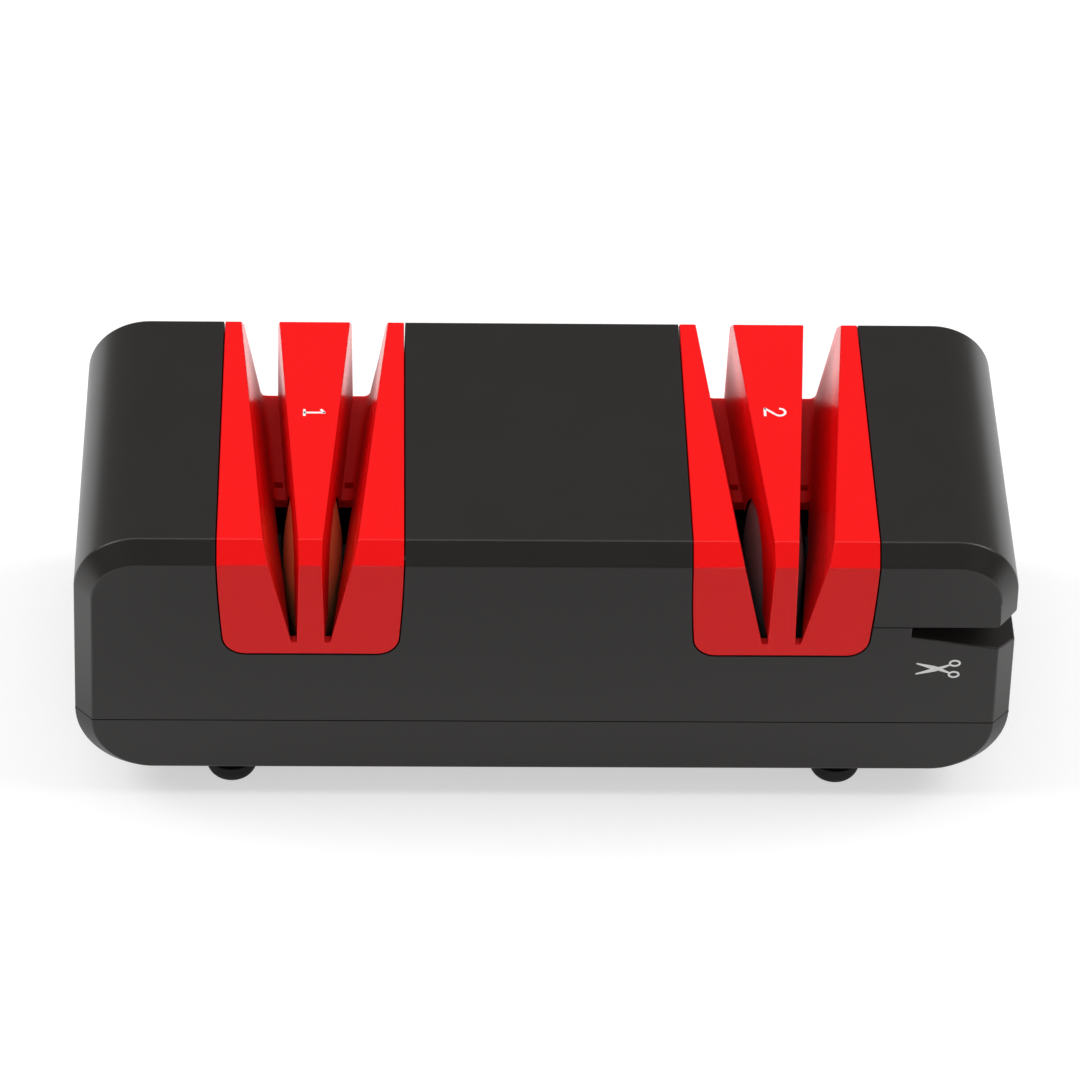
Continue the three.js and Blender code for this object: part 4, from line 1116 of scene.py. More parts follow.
@dataclass
class Assembly:
    """What every group of pieces shares: the way pieces are handed over.

    Attributes:
        paints: The materials.
    """

    paints: Paintbox

    def hand_over(self, piece: Piece, finish: str, body: str, *nodes: str) -> None:
        """Dresses a finished piece, puts it on its body's empty and hides the solids it stands for.

        Args:
            piece: The piece.
            finish: Its finish.
            body: The body it moves with.
            nodes: The solids it stands for.
        """
        self.paints.dress(piece, finish)
        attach(piece, body)
        if nodes:
            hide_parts(*nodes)
        log.info("%s: %s, %d faces, with %s", piece.name, finish, len(piece.data.polygons), body)


# Casing


@dataclass(frozen=True)
class BackPanel:
    """Recess in the back for the mains inlet and the switch.

    Attributes:
        half_width: Half the recess's width.
        low: Height of its lower edge.
        high: Height of its upper edge.
        seat_y: Its floor, on which the fittings sit.
        place: Distance of each fitting from the middle.
        gap: Clearance round the fittings.
        inlet: Width and height of the inlet's body.
        switch: Width and height of the switch's body.
        hole_depth: How deep the holes are cut.
    """

    half_width: float = 30.0
    low: float = 42.0
    high: float = 66.0
    seat_y: float = 39.5
    place: float = 14.1
    gap: float = 0.3
    inlet: Pair = (22.0, 12.0)
    switch: Pair = (13.0, 20.4)
    hole_depth: float = 4.0

    @property
    def middle(self) -> float:
        """Middle height of the recess."""
        return (self.low + self.high) / 2

    def holes(self) -> Skin:
        """Cutters for the holes behind the inlet and the switch.

        Returns:
            Two blocks.
        """
        cuts = Skin()
        for x, (width, height) in ((-self.place, self.inlet), (self.place, self.switch)):
            half = (width / 2 + self.gap, height / 2 + self.gap)
            cuts.box((x - half[0], self.seat_y - self.hole_depth, self.middle - half[1]),
                     (x + half[0], self.seat_y + PAST, self.middle + half[1]))
        return cuts


@dataclass(frozen=True)
class Underside:
    """Screw bosses and vents of the lower shell.

    Attributes:
        screw: Distance of each screw from the middle, along and across.
        boss: Radius of a boss.
        boss_rise: Height of its foot over the underside.
        boss_length: Length of a boss.
        well: Radius of the screw well in it.
        well_depth: Depth of the well.
        vents: Vents on each side of the middle one.
        pitch: Distance between vents.
        vent_half: Half the width of a vent.
        vent_y: Front and back end of the vents.
        vent_depth: How deep they are cut.
    """

    screw: Pair = (94.0, 31.0)
    boss: float = 5.4
    boss_rise: float = 1.4
    boss_length: float = 18.0
    well: float = 3.3
    well_depth: float = 9.0
    vents: int = 3
    pitch: float = 7.6
    vent_half: float = 1.2
    vent_y: Pair = (-38.0, -14.0)
    vent_depth: float = 4.0

    def bosses(self, bottom: float) -> Skin:
        """Round bars that hold the screws.

        Args:
            bottom: Height of the underside.

        Returns:
            Four closed bars.
        """
        made = Skin()
        for x, y in self._screws():
            made.grid(rod(self.boss, Axis.Z, (x, y, bottom + self.boss_rise), self.boss_length), wrap=True)
        return made

    def cuts(self, bottom: float) -> Skin:
        """Cutters for the screw wells and the vents.

        Args:
            bottom: Height of the underside.

        Returns:
            Closed bars and blocks.
        """
        made = Skin()
        for x, y in self._screws():
            made.grid(rod(self.well, Axis.Z, (x, y, bottom - PAST), self.well_depth + PAST), wrap=True)
        for place in range(-self.vents, self.vents + 1):
            x = place * self.pitch
            made.box((x - self.vent_half, self.vent_y[0], bottom - PAST),
                     (x + self.vent_half, self.vent_y[1], bottom + self.vent_depth))
        return made

    def _screws(self) -> list[Pair]:
        """Places of the four screws."""
        return [(x * self.screw[0], y * self.screw[1]) for x in (-1, 1) for y in (-1, 1)]


@dataclass
class Casing(Assembly):
    """The two shells and the hood over the scissors slot.

    Attributes:
        form: Outer form.
        guide: Form of the knife guides that it makes room for.
        panel: Recess in the back.
        underside: Screw bosses and vents.
        part_z: Height of the line under the hood.
        slot_x: Inner end of the scissors slot.
        slot_drop: Height of the slot at its inner end.
        slot_slope: Fall of the slot's floor for each millimetre outwards.
        hood_corner: Radius of the hood's lower corner.
        hood_corner_front: The same radius on the front and back faces.
        hood_points: Points on that corner.
        hood_step: Height of the strip under the hood's side, at which its foot opens.
        disc_radius: Radius of the hole for the scissors disc.
        disc_hole: Start and length of that hole, from the slot's inner end.
        opening: Low and high corner of a drawer's opening, from the guide's middle.
        rounding: Rounding of the edges.
        seam_margin: Edges this near to a seam stay sharp.
        opening_margin: Edges this near to a drawer's opening stay sharp.
    """

    form: Form = field(default_factory=Form)
    guide: GuideForm = field(default_factory=GuideForm)
    panel: BackPanel = field(default_factory=BackPanel)
    underside: Underside = field(default_factory=Underside)
    part_z: float = 57.0
    slot_x: float = 88.5
    slot_drop: float = 3.3
    slot_slope: float = 0.16
    hood_corner: float = 2.5
    hood_corner_front: float = 0.9
    hood_points: int = 9
    hood_step: float = 0.001
    disc_radius: float = 13.5
    disc_hole: Pair = (-8.0, 8.1)
    opening: tuple[Point, Point] = ((-12.3, 36.0, 10.4), (12.3, 47.0, 21.5))
    rounding: Rounding = Rounding(0.38)
    seam_margin: float = 0.6
    opening_margin: float = 0.2

    def slot_end(self) -> float:
        """Height at which the slot's floor meets the right end, from the two lines' crossing.

        Returns:
            The height.
        """
        form = self.form
        draft = (form.half_length - form.half_top) / (form.high_centre - form.low_centre)
        inner = self.part_z - self.slot_drop
        x = form.half_length - draft * (inner + self.slot_slope * self.slot_x - form.low_centre)
        x /= 1 - draft * self.slot_slope
        return inner - self.slot_slope * (x - self.slot_x)

    def main_shell(self) -> Piece:
        """Upper shell with the guides' cut-outs, the scissors slot's floor and the recessed back panel.

        Returns:
            The shell.
        """
        form, guide, panel, wall = self.form, self.guide, self.panel, self.form.wall
        top, part, seam = form.top, self.part_z - form.gap / 2, form.seam + form.gap / 2
        edge = guide.half_width + form.gap
        right = guide.pocket(guide.spacing, top, top - part, guide.first, form.gap)
        left = guide.pocket(-guide.spacing, top, guide.first, guide.first, form.gap)
        inner = np.array([[self.slot_x, self.part_z - self.slot_drop], [self.slot_x, part]])
        parts = [
            (form.end(seam, 1), True),
            (form.end(self.slot_end(), 1, self.slot_slope), True),
            (form.fixed(inner), True),
            (form.fixed(right), False),
            (form.flat_top(guide.spacing - edge), True),
            (form.flat_top(edge - guide.spacing), False),
            (form.fixed(left), False),
            (form.flat_top(-guide.spacing - edge), True),
            (form.corner(1), True),
            (form.end(seam, -1), False),
        ]
        shell = thicken(form.skin(parts).build("upper_casing"), wall)
        block = Skin().box((-panel.half_width - wall, panel.seat_y - wall, panel.low - wall),
                           (panel.half_width + wall, form.face_y - PAST, panel.high + wall))
        carve(shell, block, "UNION")
        cuts = Skin().box((-panel.half_width, panel.seat_y, panel.low),
                          (panel.half_width, form.face_y + PAST, panel.high))
        start, length = self.disc_hole
        cuts.grid(rod(self.disc_radius, Axis.X, (self.slot_x + start, *SHAFT), length), wrap=True)
        carve(shell, cuts)
        return carve(shell, panel.holes())

    def drawer_openings(self, grow: float = 0.0) -> list[Box]:
        """Openings for the drawers.

        Args:
            grow: How far each is made larger.

        Returns:
            Low and high corner of each.
        """
        low, high = np.array(self.opening) + ((-grow,), (grow,))
        return [(low + (x, 0, 0), high + (x, 0, 0)) for x in (-self.guide.spacing, self.guide.spacing)]

    def base_shell(self) -> Piece:
        """Lower shell with vents, screw wells and the drawers' openings.

        Returns:
            The shell.
        """
        form = self.form
        seam = form.seam - form.gap / 2
        parts = [(form.end(seam, -1), True), (form.corner(2), True), (form.corner(3), True),
                 (form.end(seam, 1), False)]
        shell = thicken(form.skin(parts).build("lower_casing"), form.wall)
        carve(shell, self.underside.bosses(form.bottom), "UNION")
        cuts = self.underside.cuts(form.bottom)
        for low, high in self.drawer_openings():
            cuts.box(low, high)
        return carve(shell, cuts)

    def hood(self) -> Piece:
        """Cover over the scissors slot, with its lower outer corner rounded.

        The corner's radius shrinks from the end towards the front and back
        faces, so its points are drawn in along a way of their own.

        Returns:
            The hood.
        """
        form, guide, radius = self.form, self.guide, self.hood_corner
        low = self.part_z + form.gap / 2
        shrink = (radius - self.hood_corner_front) / form.chamfer
        height = np.linspace(form.top - guide.first, low, guide.steps)
        side = np.stack([guide.spacing + guide.half_at(form.top - height) + form.gap, height], -1)
        turn = np.linspace(-np.pi / 2, 0, self.hood_points)
        corner = arc((form.side_x(low) - radius, low + radius), radius, turn)
        draw = np.stack([1 - shrink * (1 - np.cos(turn)), shrink * (1 + np.sin(turn))], -1)
        parts = [
            (form.fixed(np.array([[self.slot_x + form.gap, low]])), True),
            (np.concatenate([corner - draw, draw, np.ones((len(corner), 1))], 1), True),
            (form.corner(0), True),
            (form.flat_top(guide.spacing + guide.half_width + form.gap), True),
            (form.fixed(side), True),
            (form.fixed(side[-1:] - (0, self.hood_step)), False),
        ]
        return thicken(form.skin(parts).build("scissors_hood"), form.wall)

    def build(self) -> None:
        """Builds the three shells and hands them over."""
        form, guide, margin = self.form, self.guide, self.seam_margin
        reach = form.half_length + PAST
        half = guide.half_width + 2 * form.gap
        spared = [((-reach, -reach, z - margin), (reach, reach, z + margin))
                  for z in (form.seam, self.part_z)]
        spared += self.drawer_openings(self.opening_margin)
        pockets = [((x - half, -reach, form.top - guide.height - PAST), (x + half, reach, form.top + PAST))
                   for x in (-guide.spacing, guide.spacing)]
        for piece, node in ((self.main_shell(), "main_shell"), (self.base_shell(), "base_shell"),
                            (self.hood(), "scissors_cover")):
            self.rounding.apply(join_flat(piece), spared, pockets)
            self.hand_over(piece, "black_shell", "casing", node)


# Knife guides and wheels


@dataclass(frozen=True)
class Lens:
    """Form of a grinding wheel, which is thinner towards its rim.

    Attributes:
        radius: Outer radius.
        half: Half the thickness on the axis.
        rim: Half the thickness at the outer radius.
        steps: Points on a flank.
        count: Points on a circle.
    """

    radius: float = 24.0
    half: float = 7.5
    rim: float = 3.4
    steps: int = 22
    count: int = 96

    def flank(self, first: float, last: float, grow: float = 0.0) -> Array:
        """Half thickness along the radius: the axis's less a share that grows with the radius squared.

        Args:
            first: Radius at which it starts.
            last: Radius at which it ends.
            grow: Clearance added to the half thickness.

        Returns:
            Rows of radius and half thickness.
        """
        radius = np.linspace(first, last, self.steps)
        return np.stack([radius, self.half - (self.half - self.rim) * (radius / self.radius) ** 2 + grow], -1)

    def turned(self, profile: Array, middle: float) -> Array:
        """Turns a profile about the shaft's line."""
        return turned(profile, Axis.X, (middle, *SHAFT), self.count)

    def space(self, middle: float, clearance: float) -> Array:
        """Closed lens round the wheel, grown by a clearance, as a turned profile."""
        half = self.flank(0.0, self.radius + clearance, clearance)
        return self.turned(np.concatenate([half * (1, -1), half[::-1]]), middle)


@dataclass(frozen=True)
class Slot:
    """The two slots of a guide.

    Distances are from the guide's middle, and each pair is at the front and at
    the back edge of the top.

    Attributes:
        outer: Outer wall at the top.
        divider: Divider's wall at the top.
        outer_low: Outer wall at the floor's depth.
        divider_low: Divider's wall at the floor's depth.
        depth: Depth of the floor.
        tip_depth: Depth of the narrow end in the front wall.
        tip_width: Width of that end.
        fillet: Radius between the floor and the outer wall.
        fillet_steps: Points on that rounding.
        step_y: Front end of the floor.
        pin: Place of the pin hole in the floor.
        pin_half: Half the width of the pin hole.
        pin_z: Lower and upper end of its cutter.
    """

    outer: Pair = (11.4, 18.3)
    divider: Pair = (2.96, 8.89)
    outer_low: Pair = (5.4, 13.24)
    divider_low: Pair = (3.72, 9.27)
    depth: float = 28.0
    tip_depth: float = 29.2
    tip_width: float = 1.1
    fillet: float = 1.8
    fillet_steps: int = 6
    step_y: float = 5.3
    pin: Pair = (8.8, 11.0)
    pin_half: float = 1.1
    pin_z: Pair = (50.6, 53.5)


@dataclass
class KnifeGuide(Assembly):
    """One red guide with its two slots.

    Attributes:
        name: First word of its name.
        middle: Its x.
        form: Outer form of the casing.
        guide: Form of the guide.
        slot: Its slots.
        wheel: Form of the wheel in it.
        wall: Thickness of its walls.
        foot_x: Inner end of its underside, from its middle.
        clearance: Room round the wheel.
        rounding: Rounding of the edges.
        margin: Edges in the slots stay sharp up to this far over the floor's rounding, and this near to
            the faces.
    """

    name: str
    middle: float
    form: Form = field(default_factory=Form)
    guide: GuideForm = field(default_factory=GuideForm)
    slot: Slot = field(default_factory=Slot)
    wheel: Lens = field(default_factory=Lens)
    wall: float = 2.4
    foot_x: float = 10.0
    clearance: float = 0.6
    rounding: Rounding = Rounding(0.32)
    margin: float = 0.3

    @property
    def floor_z(self) -> float:
        """Height of the slots' floor."""
        return self.form.top - self.slot.depth

    def height_at(self, y: float) -> float:
        """Height of the top face at a place along the depth, down the chamfers."""
        past = max(0.0, abs(y) - self.form.edge_y) / (self.form.face_y - self.form.edge_y)
        return self.form.top - self.form.chamfer * past

    def wall_x(self, low: Pair, high: Pair, y: float, z: float) -> float:
        """Place of a slot wall: linear along the depth and up the wall.

        Args:
            low: Its places at the floor's depth, at the front and back edge.
            high: Its places at the top.
            y: Place along the depth.
            z: Height.

        Returns:
            Distance from the guide's middle.
        """
        along = (y + self.form.edge_y) / (2 * self.form.edge_y)
        up = (z - self.floor_z) / self.slot.depth
        return (low[0] + (low[1] - low[0]) * along) * (1 - up) + (high[0] + (high[1] - high[0]) * along) * up

    def outer_x(self, y: float, z: float) -> float:
        """Place of the slot's outer wall."""
        return self.wall_x(self.slot.outer_low, self.slot.outer, y, z)

    def divider_x(self, y: float, z: float) -> float:
        """Place of the divider's wall."""
        return self.wall_x(self.slot.divider_low, self.slot.divider, y, z)

    def outside(self, y: float) -> Array:
        """Right outside of the section: underside, corner, side and top band.

        Args:
            y: Place along the depth.

        Returns:
            Points by x and z.
        """
        top = self.height_at(y)
        side = self.guide.side(self.form.top, self.guide.first)[::-1]
        band = [[self.guide.half_at(self.form.top - top), top], [self.outer_x(y, top), top]]
        return np.concatenate([[[self.foot_x, side[0, 1]]], side, band])

    def outer_wall(self, y: float) -> Array:
        """Slot's outer wall: at the floor's depth, at the end of the floor's rounding and at the top."""
        heights = (self.floor_z, self.floor_z + self.slot.fillet, self.height_at(y))
        return np.array([[self.outer_x(y, z), z] for z in heights])

    def floor(self, y: float) -> Array:
        """Slot's floor from the divider out and up the rounding, a quarter circle.

        Args:
            y: Place along the depth.

        Returns:
            Points by x and z.
        """
        low, fillet = self.floor_z, self.slot.fillet
        turn = np.linspace(-np.pi / 2, 0, self.slot.fillet_steps)
        centre = (self.outer_x(y, low + fillet) - fillet, low + fillet)
        return np.concatenate([[[self.divider_x(y, low), low]], arc(centre, fillet, turn)])

    def divider(self, y: float) -> Array:
        """Divider's section: up its right wall, over and down its left wall."""
        right = np.array([[self.divider_x(y, z), z] for z in (self.floor_z, self.height_at(y))])
        return np.concatenate([right, right[::-1] * (-1, 1)])

    def tip(self, y: float) -> Array:
        """Narrow end of the slot in the front wall, from the outer wall to the divider and up it."""
        low, inner = self.form.top - self.slot.tip_depth, self.divider_x(y, self.floor_z)
        return np.array([[inner + self.slot.tip_width, low], [inner, low], [inner, self.floor_z]])

    def strip(self, section: Callable[[float], Array], ys: Iterable[float], mirror: bool = False) -> Array:
        """A section function carried along the depth.

        Args:
            section: Gives the section's x and z points at a y.
            ys: Places along the depth.
            mirror: Takes the left side.

        Returns:
            Places by points by 3.
        """
        side = (-1, 1) if mirror else (1, 1)
        return np.array([upright(section(y) * side, y, self.middle) for y in ys])

    def face(self, y: float) -> Array:
        """Loop of the front or back face, with the slots' ends cut into it.

        Args:
            y: Place of the face.

        Returns:
            Points by 3.
        """
        if y < 0:
            lower = np.concatenate([self.outer_wall(y)[-2::-1], self.tip(y)])
        else:
            lower = self.floor(y)[::-1]
        right = np.concatenate([self.outside(y), lower, self.divider(y)[1:2]])
        return upright(np.concatenate([right, right[::-1] * (-1, 1)]), y, self.middle)

    def cutters(self) -> Skin:
        """Cutters for the wheel's space and the two pin holes.

        Returns:
            A lens and two blocks.
        """
        half, (low, high) = self.slot.pin_half, self.slot.pin_z
        cuts = Skin().grid(self.wheel.space(self.middle, self.clearance), wrap=True)
        for side in (-1, 1):
            x, y = self.middle + side * self.slot.pin[0], self.slot.pin[1]
            cuts.box((x - half, y - half, low), (x + half, y + half, high))
        return cuts

    def build(self) -> None:
        """Builds the guide from its strips and hands it over."""
        form, slot = self.form, self.slot
        front = (-form.face_y, -form.edge_y, slot.step_y)
        back = (slot.step_y, form.edge_y, form.face_y)
        whole = front + back[1:]
        skin = Skin()
        for mirror in (False, True):
            skin.grid(self.strip(self.outside, whole, mirror))
            skin.grid(self.strip(lambda y: self.outer_wall(y)[1:], whole, mirror))
            skin.grid(self.strip(lambda y: self.outer_wall(y)[:2], front, mirror))
            skin.grid(self.strip(self.floor, back, mirror))
        skin.grid(self.strip(self.divider, whole))
        skin.polygon(self.face(-form.face_y)).polygon(self.face(form.face_y))
        piece = carve(thicken(skin.build(f"{self.name}_knife_guide"), self.wall), self.cutters())
        x, y = slot.outer[1], form.face_y - self.margin
        low_parts = ((self.middle - x, -y, form.top - self.guide.height),
                     (self.middle + x, y, self.floor_z + slot.fillet + self.margin))
        self.rounding.apply(join_flat(piece), [low_parts])
        self.hand_over(piece, "red_guide", "casing", f"{self.name}_guide")


@dataclass
class Wheel(Assembly):
    """A lens-shaped grinding wheel on the motor shaft.

    Attributes:
        name: First word of its name.
        middle: Its x.
        lens: Its form.
        bore: Radius of its bore.
        round_edge: Radius between the flank and the rim.
        leave: Angle at which that rounding leaves the flank.
        points: Points on that rounding.
    """

    name: str
    middle: float
    lens: Lens = field(default_factory=Lens)
    bore: float = 5.3
    round_edge: float = 0.5
    leave: float = 0.35
    points: int = 5

    def build(self) -> None:
        """Builds the wheel from its turned flank, rim and bore and hands it over."""
        rim = self.lens.radius - self.round_edge
        flank = self.lens.flank(self.bore, rim)
        turn = np.linspace(np.pi / 2 - self.leave, 0, self.points)
        curve = arc((rim, flank[-1, 1] - self.round_edge), self.round_edge, turn)
        half = np.concatenate([flank, curve])
        profile = np.concatenate([half, half[::-1] * (1, -1), half[:1]])
        skin = Skin().grid(self.lens.turned(profile, self.middle), wrap=True)
        piece = skin.build(f"{self.name}_grinding_wheel")
        self.hand_over(piece, f"{self.name}_grit", "rotor", f"{self.name}_wheel")


@dataclass
class ScissorsDisc(Assembly):
    """Flat grinding disc behind the scissors slot.

    Attributes:
        radius: Outer radius.
        bore: Radius of its bore.
        start: Its left face.
        thick: Its thickness.
        round_edge: Radius of its outer edges.
        points: Points on that rounding.
        count: Points on a circle.
        rounding: Rounding of the bore's edges.
    """

    radius: float = 12.5
    bore: float = 5.1
    start: float = 83.2
    thick: float = 5.0
    round_edge: float = 0.6
    points: int = 5
    count: int = 72
    rounding: Rounding = Rounding(0.2)

    def build(self) -> None:
        """Builds the disc as a turned rounded rectangle and hands it over."""
        soft, turn = self.round_edge, np.linspace(0, np.pi / 2, self.points)
        right = arc((self.radius - soft, self.thick - soft), soft, turn)
        left = (right * (1, -1) + (0, self.thick))[::-1]
        inner = [[self.bore, self.thick], [self.bore, 0]]
        profile = np.concatenate([inner[1:], left, right, inner])
        grid = turned(profile, Axis.X, (self.start, *SHAFT), self.count)
        piece = self.rounding.apply(Skin().grid(grid, wrap=True).build("scissors_disc"))
        self.hand_over(piece, "white_grit", "rotor", "scissors_wheel")


# Feet and fittings


@dataclass
class Feet(Assembly):
    """Four domed rubber feet.

    Attributes:
        radius: Radius of the collar.
        tread: Radius of the flat tread.
        height: Height of a foot.
        flank: Height of the domed flank, as a share of the whole.
        points: Points on the flank.
        count: Points on a circle.
        rounding: Rounding of the edges.
        places: Name, x and y of each foot.
    """

    radius: float = 6.5
    tread: float = 4.2
    height: float = 5.3
    flank: float = 0.8
    points: int = 12
    count: int = 56
    rounding: Rounding = Rounding(0.25)
    places: tuple[tuple[str, float, float], ...] = (
        ("front_left", -77.0, -36.0),
        ("front_right", 73.5, -36.0),
        ("rear_left", -77.0, 36.0),
        ("rear_right", 73.5, 36.0),
    )

    def build(self) -> None:
        """Builds each foot as a turned profile: flat tread, elliptic flank and straight collar."""
        turn = np.linspace(0, np.pi / 2, self.points)
        flank = np.stack([self.tread + (self.radius - self.tread) * np.sin(turn),
                          self.flank * self.height * (1 - np.cos(turn))], -1)
        end = [[self.radius, self.height], [0.0, self.height]]
        profile = np.concatenate([[[0.0, 0.0]], flank, end])
        for name, x, y in self.places:
            grid = turned(profile, Axis.Z, (x, y, 0.0), self.count)
            piece = self.rounding.apply(Skin().grid(grid, wrap=True).build(f"rubber_foot_{name}"))
            self.hand_over(piece, "rubber", "casing", f"foot_{name}")


@dataclass(frozen=True)
class Fitting:
    """A flanged body with a well in its face, as rounded rectangles.

    Each rectangle is a width, a height and a corner radius.

    Attributes:
        well: The well.
        well_depth: Depth of the well.
        flange: The flange on the panel.
        body: The part behind the panel.
        depth: Depth of the whole.
        rounding: Rounding of the edges.
    """

    well: Point
    well_depth: float
    flange: Point
    body: Point
    depth: float
    rounding: Rounding

    def build(self, name: str, x: float, z: float, face: float, seat: float) -> Piece:
        """Builds one skin through the loops, from the well's floor out, over and back.

        Args:
            name: Name of the piece.
            x: Middle of the loops.
            z: Middle height of the loops.
            face: Outer face.
            seat: Face of the panel.

        Returns:
            The piece.
        """
        floor, back, point = face - self.well_depth, face - self.depth, (0.0, 0.0, 0.0)
        loops = ((point, floor), (self.well, floor), (self.well, face), (self.flange, face),
                 (self.flange, seat), (self.body, seat), (self.body, back), (point, back))
        grid = np.array([upright(rounded_loop(*size), y, x, z) for size, y in loops])
        return self.rounding.apply(Skin().grid(grid, wrap=True).build(name))


@dataclass(frozen=True)
class Rocker:
    """Side view of the rocker, from its pivot.

    Attributes:
        half_length: Half its length.
        half_width: Half its width.
        crown: Height of its face in the middle.
        rise: How much higher its ends are.
        power: Power of the distance by which they rise.
        under: Depth of its underside.
        sunk: Depth of the pivot under the flange's face.
        tilt: Tilt at rest, in degrees.
        steps: Points along its face.
    """

    half_length: float = 8.4
    half_width: float = 5.0
    crown: float = 1.4
    rise: float = 2.0
    power: float = 1.4
    under: float = 2.5
    sunk: float = 0.7
    tilt: float = 12.0
    steps: int = 29

    def face(self, along: Array) -> Array:
        """Height of the face: lowest in the middle, rising with a power of the distance."""
        return self.crown + self.rise * np.abs(along / self.half_length) ** self.power

    def side(self) -> Array:
        """Side view: along the face and back along the underside.

        Returns:
            Rows of place along the rocker and distance outwards.
        """
        along, reach = np.linspace(-self.half_length, self.half_length, self.steps), self.half_length
        face = np.stack([along, self.face(along)], -1)
        return np.concatenate([face, [[reach, -self.under], [-reach, -self.under]]])


@dataclass(frozen=True)
class SwitchMarks:
    """Plain bar and ring on the rocker's two ends.

    Attributes:
        ring: Radius of the ring.
        ring_place: Its place along the rocker.
        ring_stroke: Half the width of its stroke.
        bar: Ends of the bar along the rocker.
        bar_stroke: Half the width of its stroke.
        lift: Foot and top of the marks over the face.
        points: Points on the ring and on the bar.
    """

    ring: float = 1.25
    ring_place: float = -5.2
    ring_stroke: float = 0.22
    bar: Pair = (4.0, 6.4)
    bar_stroke: float = 0.24
    lift: Pair = (0.01, 0.05)
    points: tuple[int, int] = (41, 9)

    def strips(self) -> tuple[Array, Array]:
        """Flat strips of the ring and the bar, in the rocker's own plane.

        Returns:
            Points by 2 sides by 2 of each.
        """
        circle = arc((0.0, self.ring_place), self.ring, np.linspace(0, 2 * np.pi, self.points[0]))
        line = np.linspace((0.0, self.bar[0]), (0.0, self.bar[1]), self.points[1])
        return ribbon(circle, self.ring_stroke), ribbon(line, self.bar_stroke)


@dataclass
class BackFittings(Assembly):
    """Mains inlet and rocker switch in the recess.

    Attributes:
        panel: The recess.
        flange: Thickness of both flanges.
        inlet: Form of the inlet.
        switch: Form of the switch's body.
        rocker_form: Form of the rocker.
        marks_form: Marks on the rocker.
        rounding: Rounding of the rocker.
    """

    panel: BackPanel = field(default_factory=BackPanel)
    flange: float = 1.6
    inlet: Fitting = Fitting(well=(14.5, 7.5, 3.75), well_depth=12.0, flange=(26.0, 16.0, 3.2),
                             body=(22.0, 12.0, 2.6), depth=16.0, rounding=Rounding(0.4, 3))
    switch: Fitting = Fitting(well=(10.6, 18.8, 0.5), well_depth=6.2, flange=(15.0, 22.4, 1.6),
                              body=(13.0, 20.4, 0.8), depth=14.0, rounding=Rounding(0.35, 3))
    rocker_form: Rocker = field(default_factory=Rocker)
    marks_form: SwitchMarks = field(default_factory=SwitchMarks)
    rounding: Rounding = Rounding(0.45, 3)

    @property
    def seat_y(self) -> float:
        """Inner face of both flanges."""
        return self.panel.seat_y + self.panel.gap

    @property
    def face_y(self) -> float:
        """Outer face of both flanges."""
        return self.seat_y + self.flange

    def on_rocker(self, along: Array, out: Array, x: Array | float) -> Array:
        """Turns places on the untilted rocker into points.

        Args:
            along: Distance up from the pivot.
            out: Distance outwards from the pivot.
            x: Distance from the switch's middle.

        Returns:
            Points by 3.
        """
        form, panel = self.rocker_form, self.panel
        cos, sin = math.cos(math.radians(form.tilt)), math.sin(math.radians(form.tilt))
        x = np.broadcast_to(panel.place + x, along.shape)
        return np.stack([x, self.face_y - form.sunk + along * sin + out * cos,
                         panel.middle + along * cos - out * sin], -1)

    def rocker(self) -> Piece:
        """Rocker as its side view carried across its width.

        Returns:
            The rocker.
        """
        along, out = self.rocker_form.side().T
        half = self.rocker_form.half_width
        rows = np.array([self.on_rocker(along, out, x) for x in (-half, half)])
        skin = Skin().grid(rows, wrap=True).polygon(rows[0]).polygon(rows[1])
        return self.rounding.apply(skin.build("red_rocker"))

    def marks(self) -> Piece:
        """Bar and ring laid on the rocker's face.

        Returns:
            The marks, as one piece.
        """
        skin = Skin()
        for strip in self.marks_form.strips():
            x, along = strip[..., 0], strip[..., 1]
            face = self.rocker_form.face(along)
            skin.grid(ridge(*(self.on_rocker(along, face + lift, x) for lift in self.marks_form.lift)))
        return skin.build("switch_marks")

    def build(self) -> None:
        """Builds the fittings and hands them over."""
        panel, ends = self.panel, (self.panel.middle, self.face_y, self.seat_y)
        inlet = self.inlet.build("mains_socket", -panel.place, *ends)
        self.hand_over(inlet, "black_plastic", "casing", "inlet_socket")
        housing = self.switch.build("switch_body", panel.place, *ends)
        self.hand_over(housing, "black_plastic", "casing", "switch_housing")
        self.hand_over(self.rocker(), "switch_red", "rocker", "switch_rocker")
        self.hand_over(self.marks(), "print_white", "rocker")


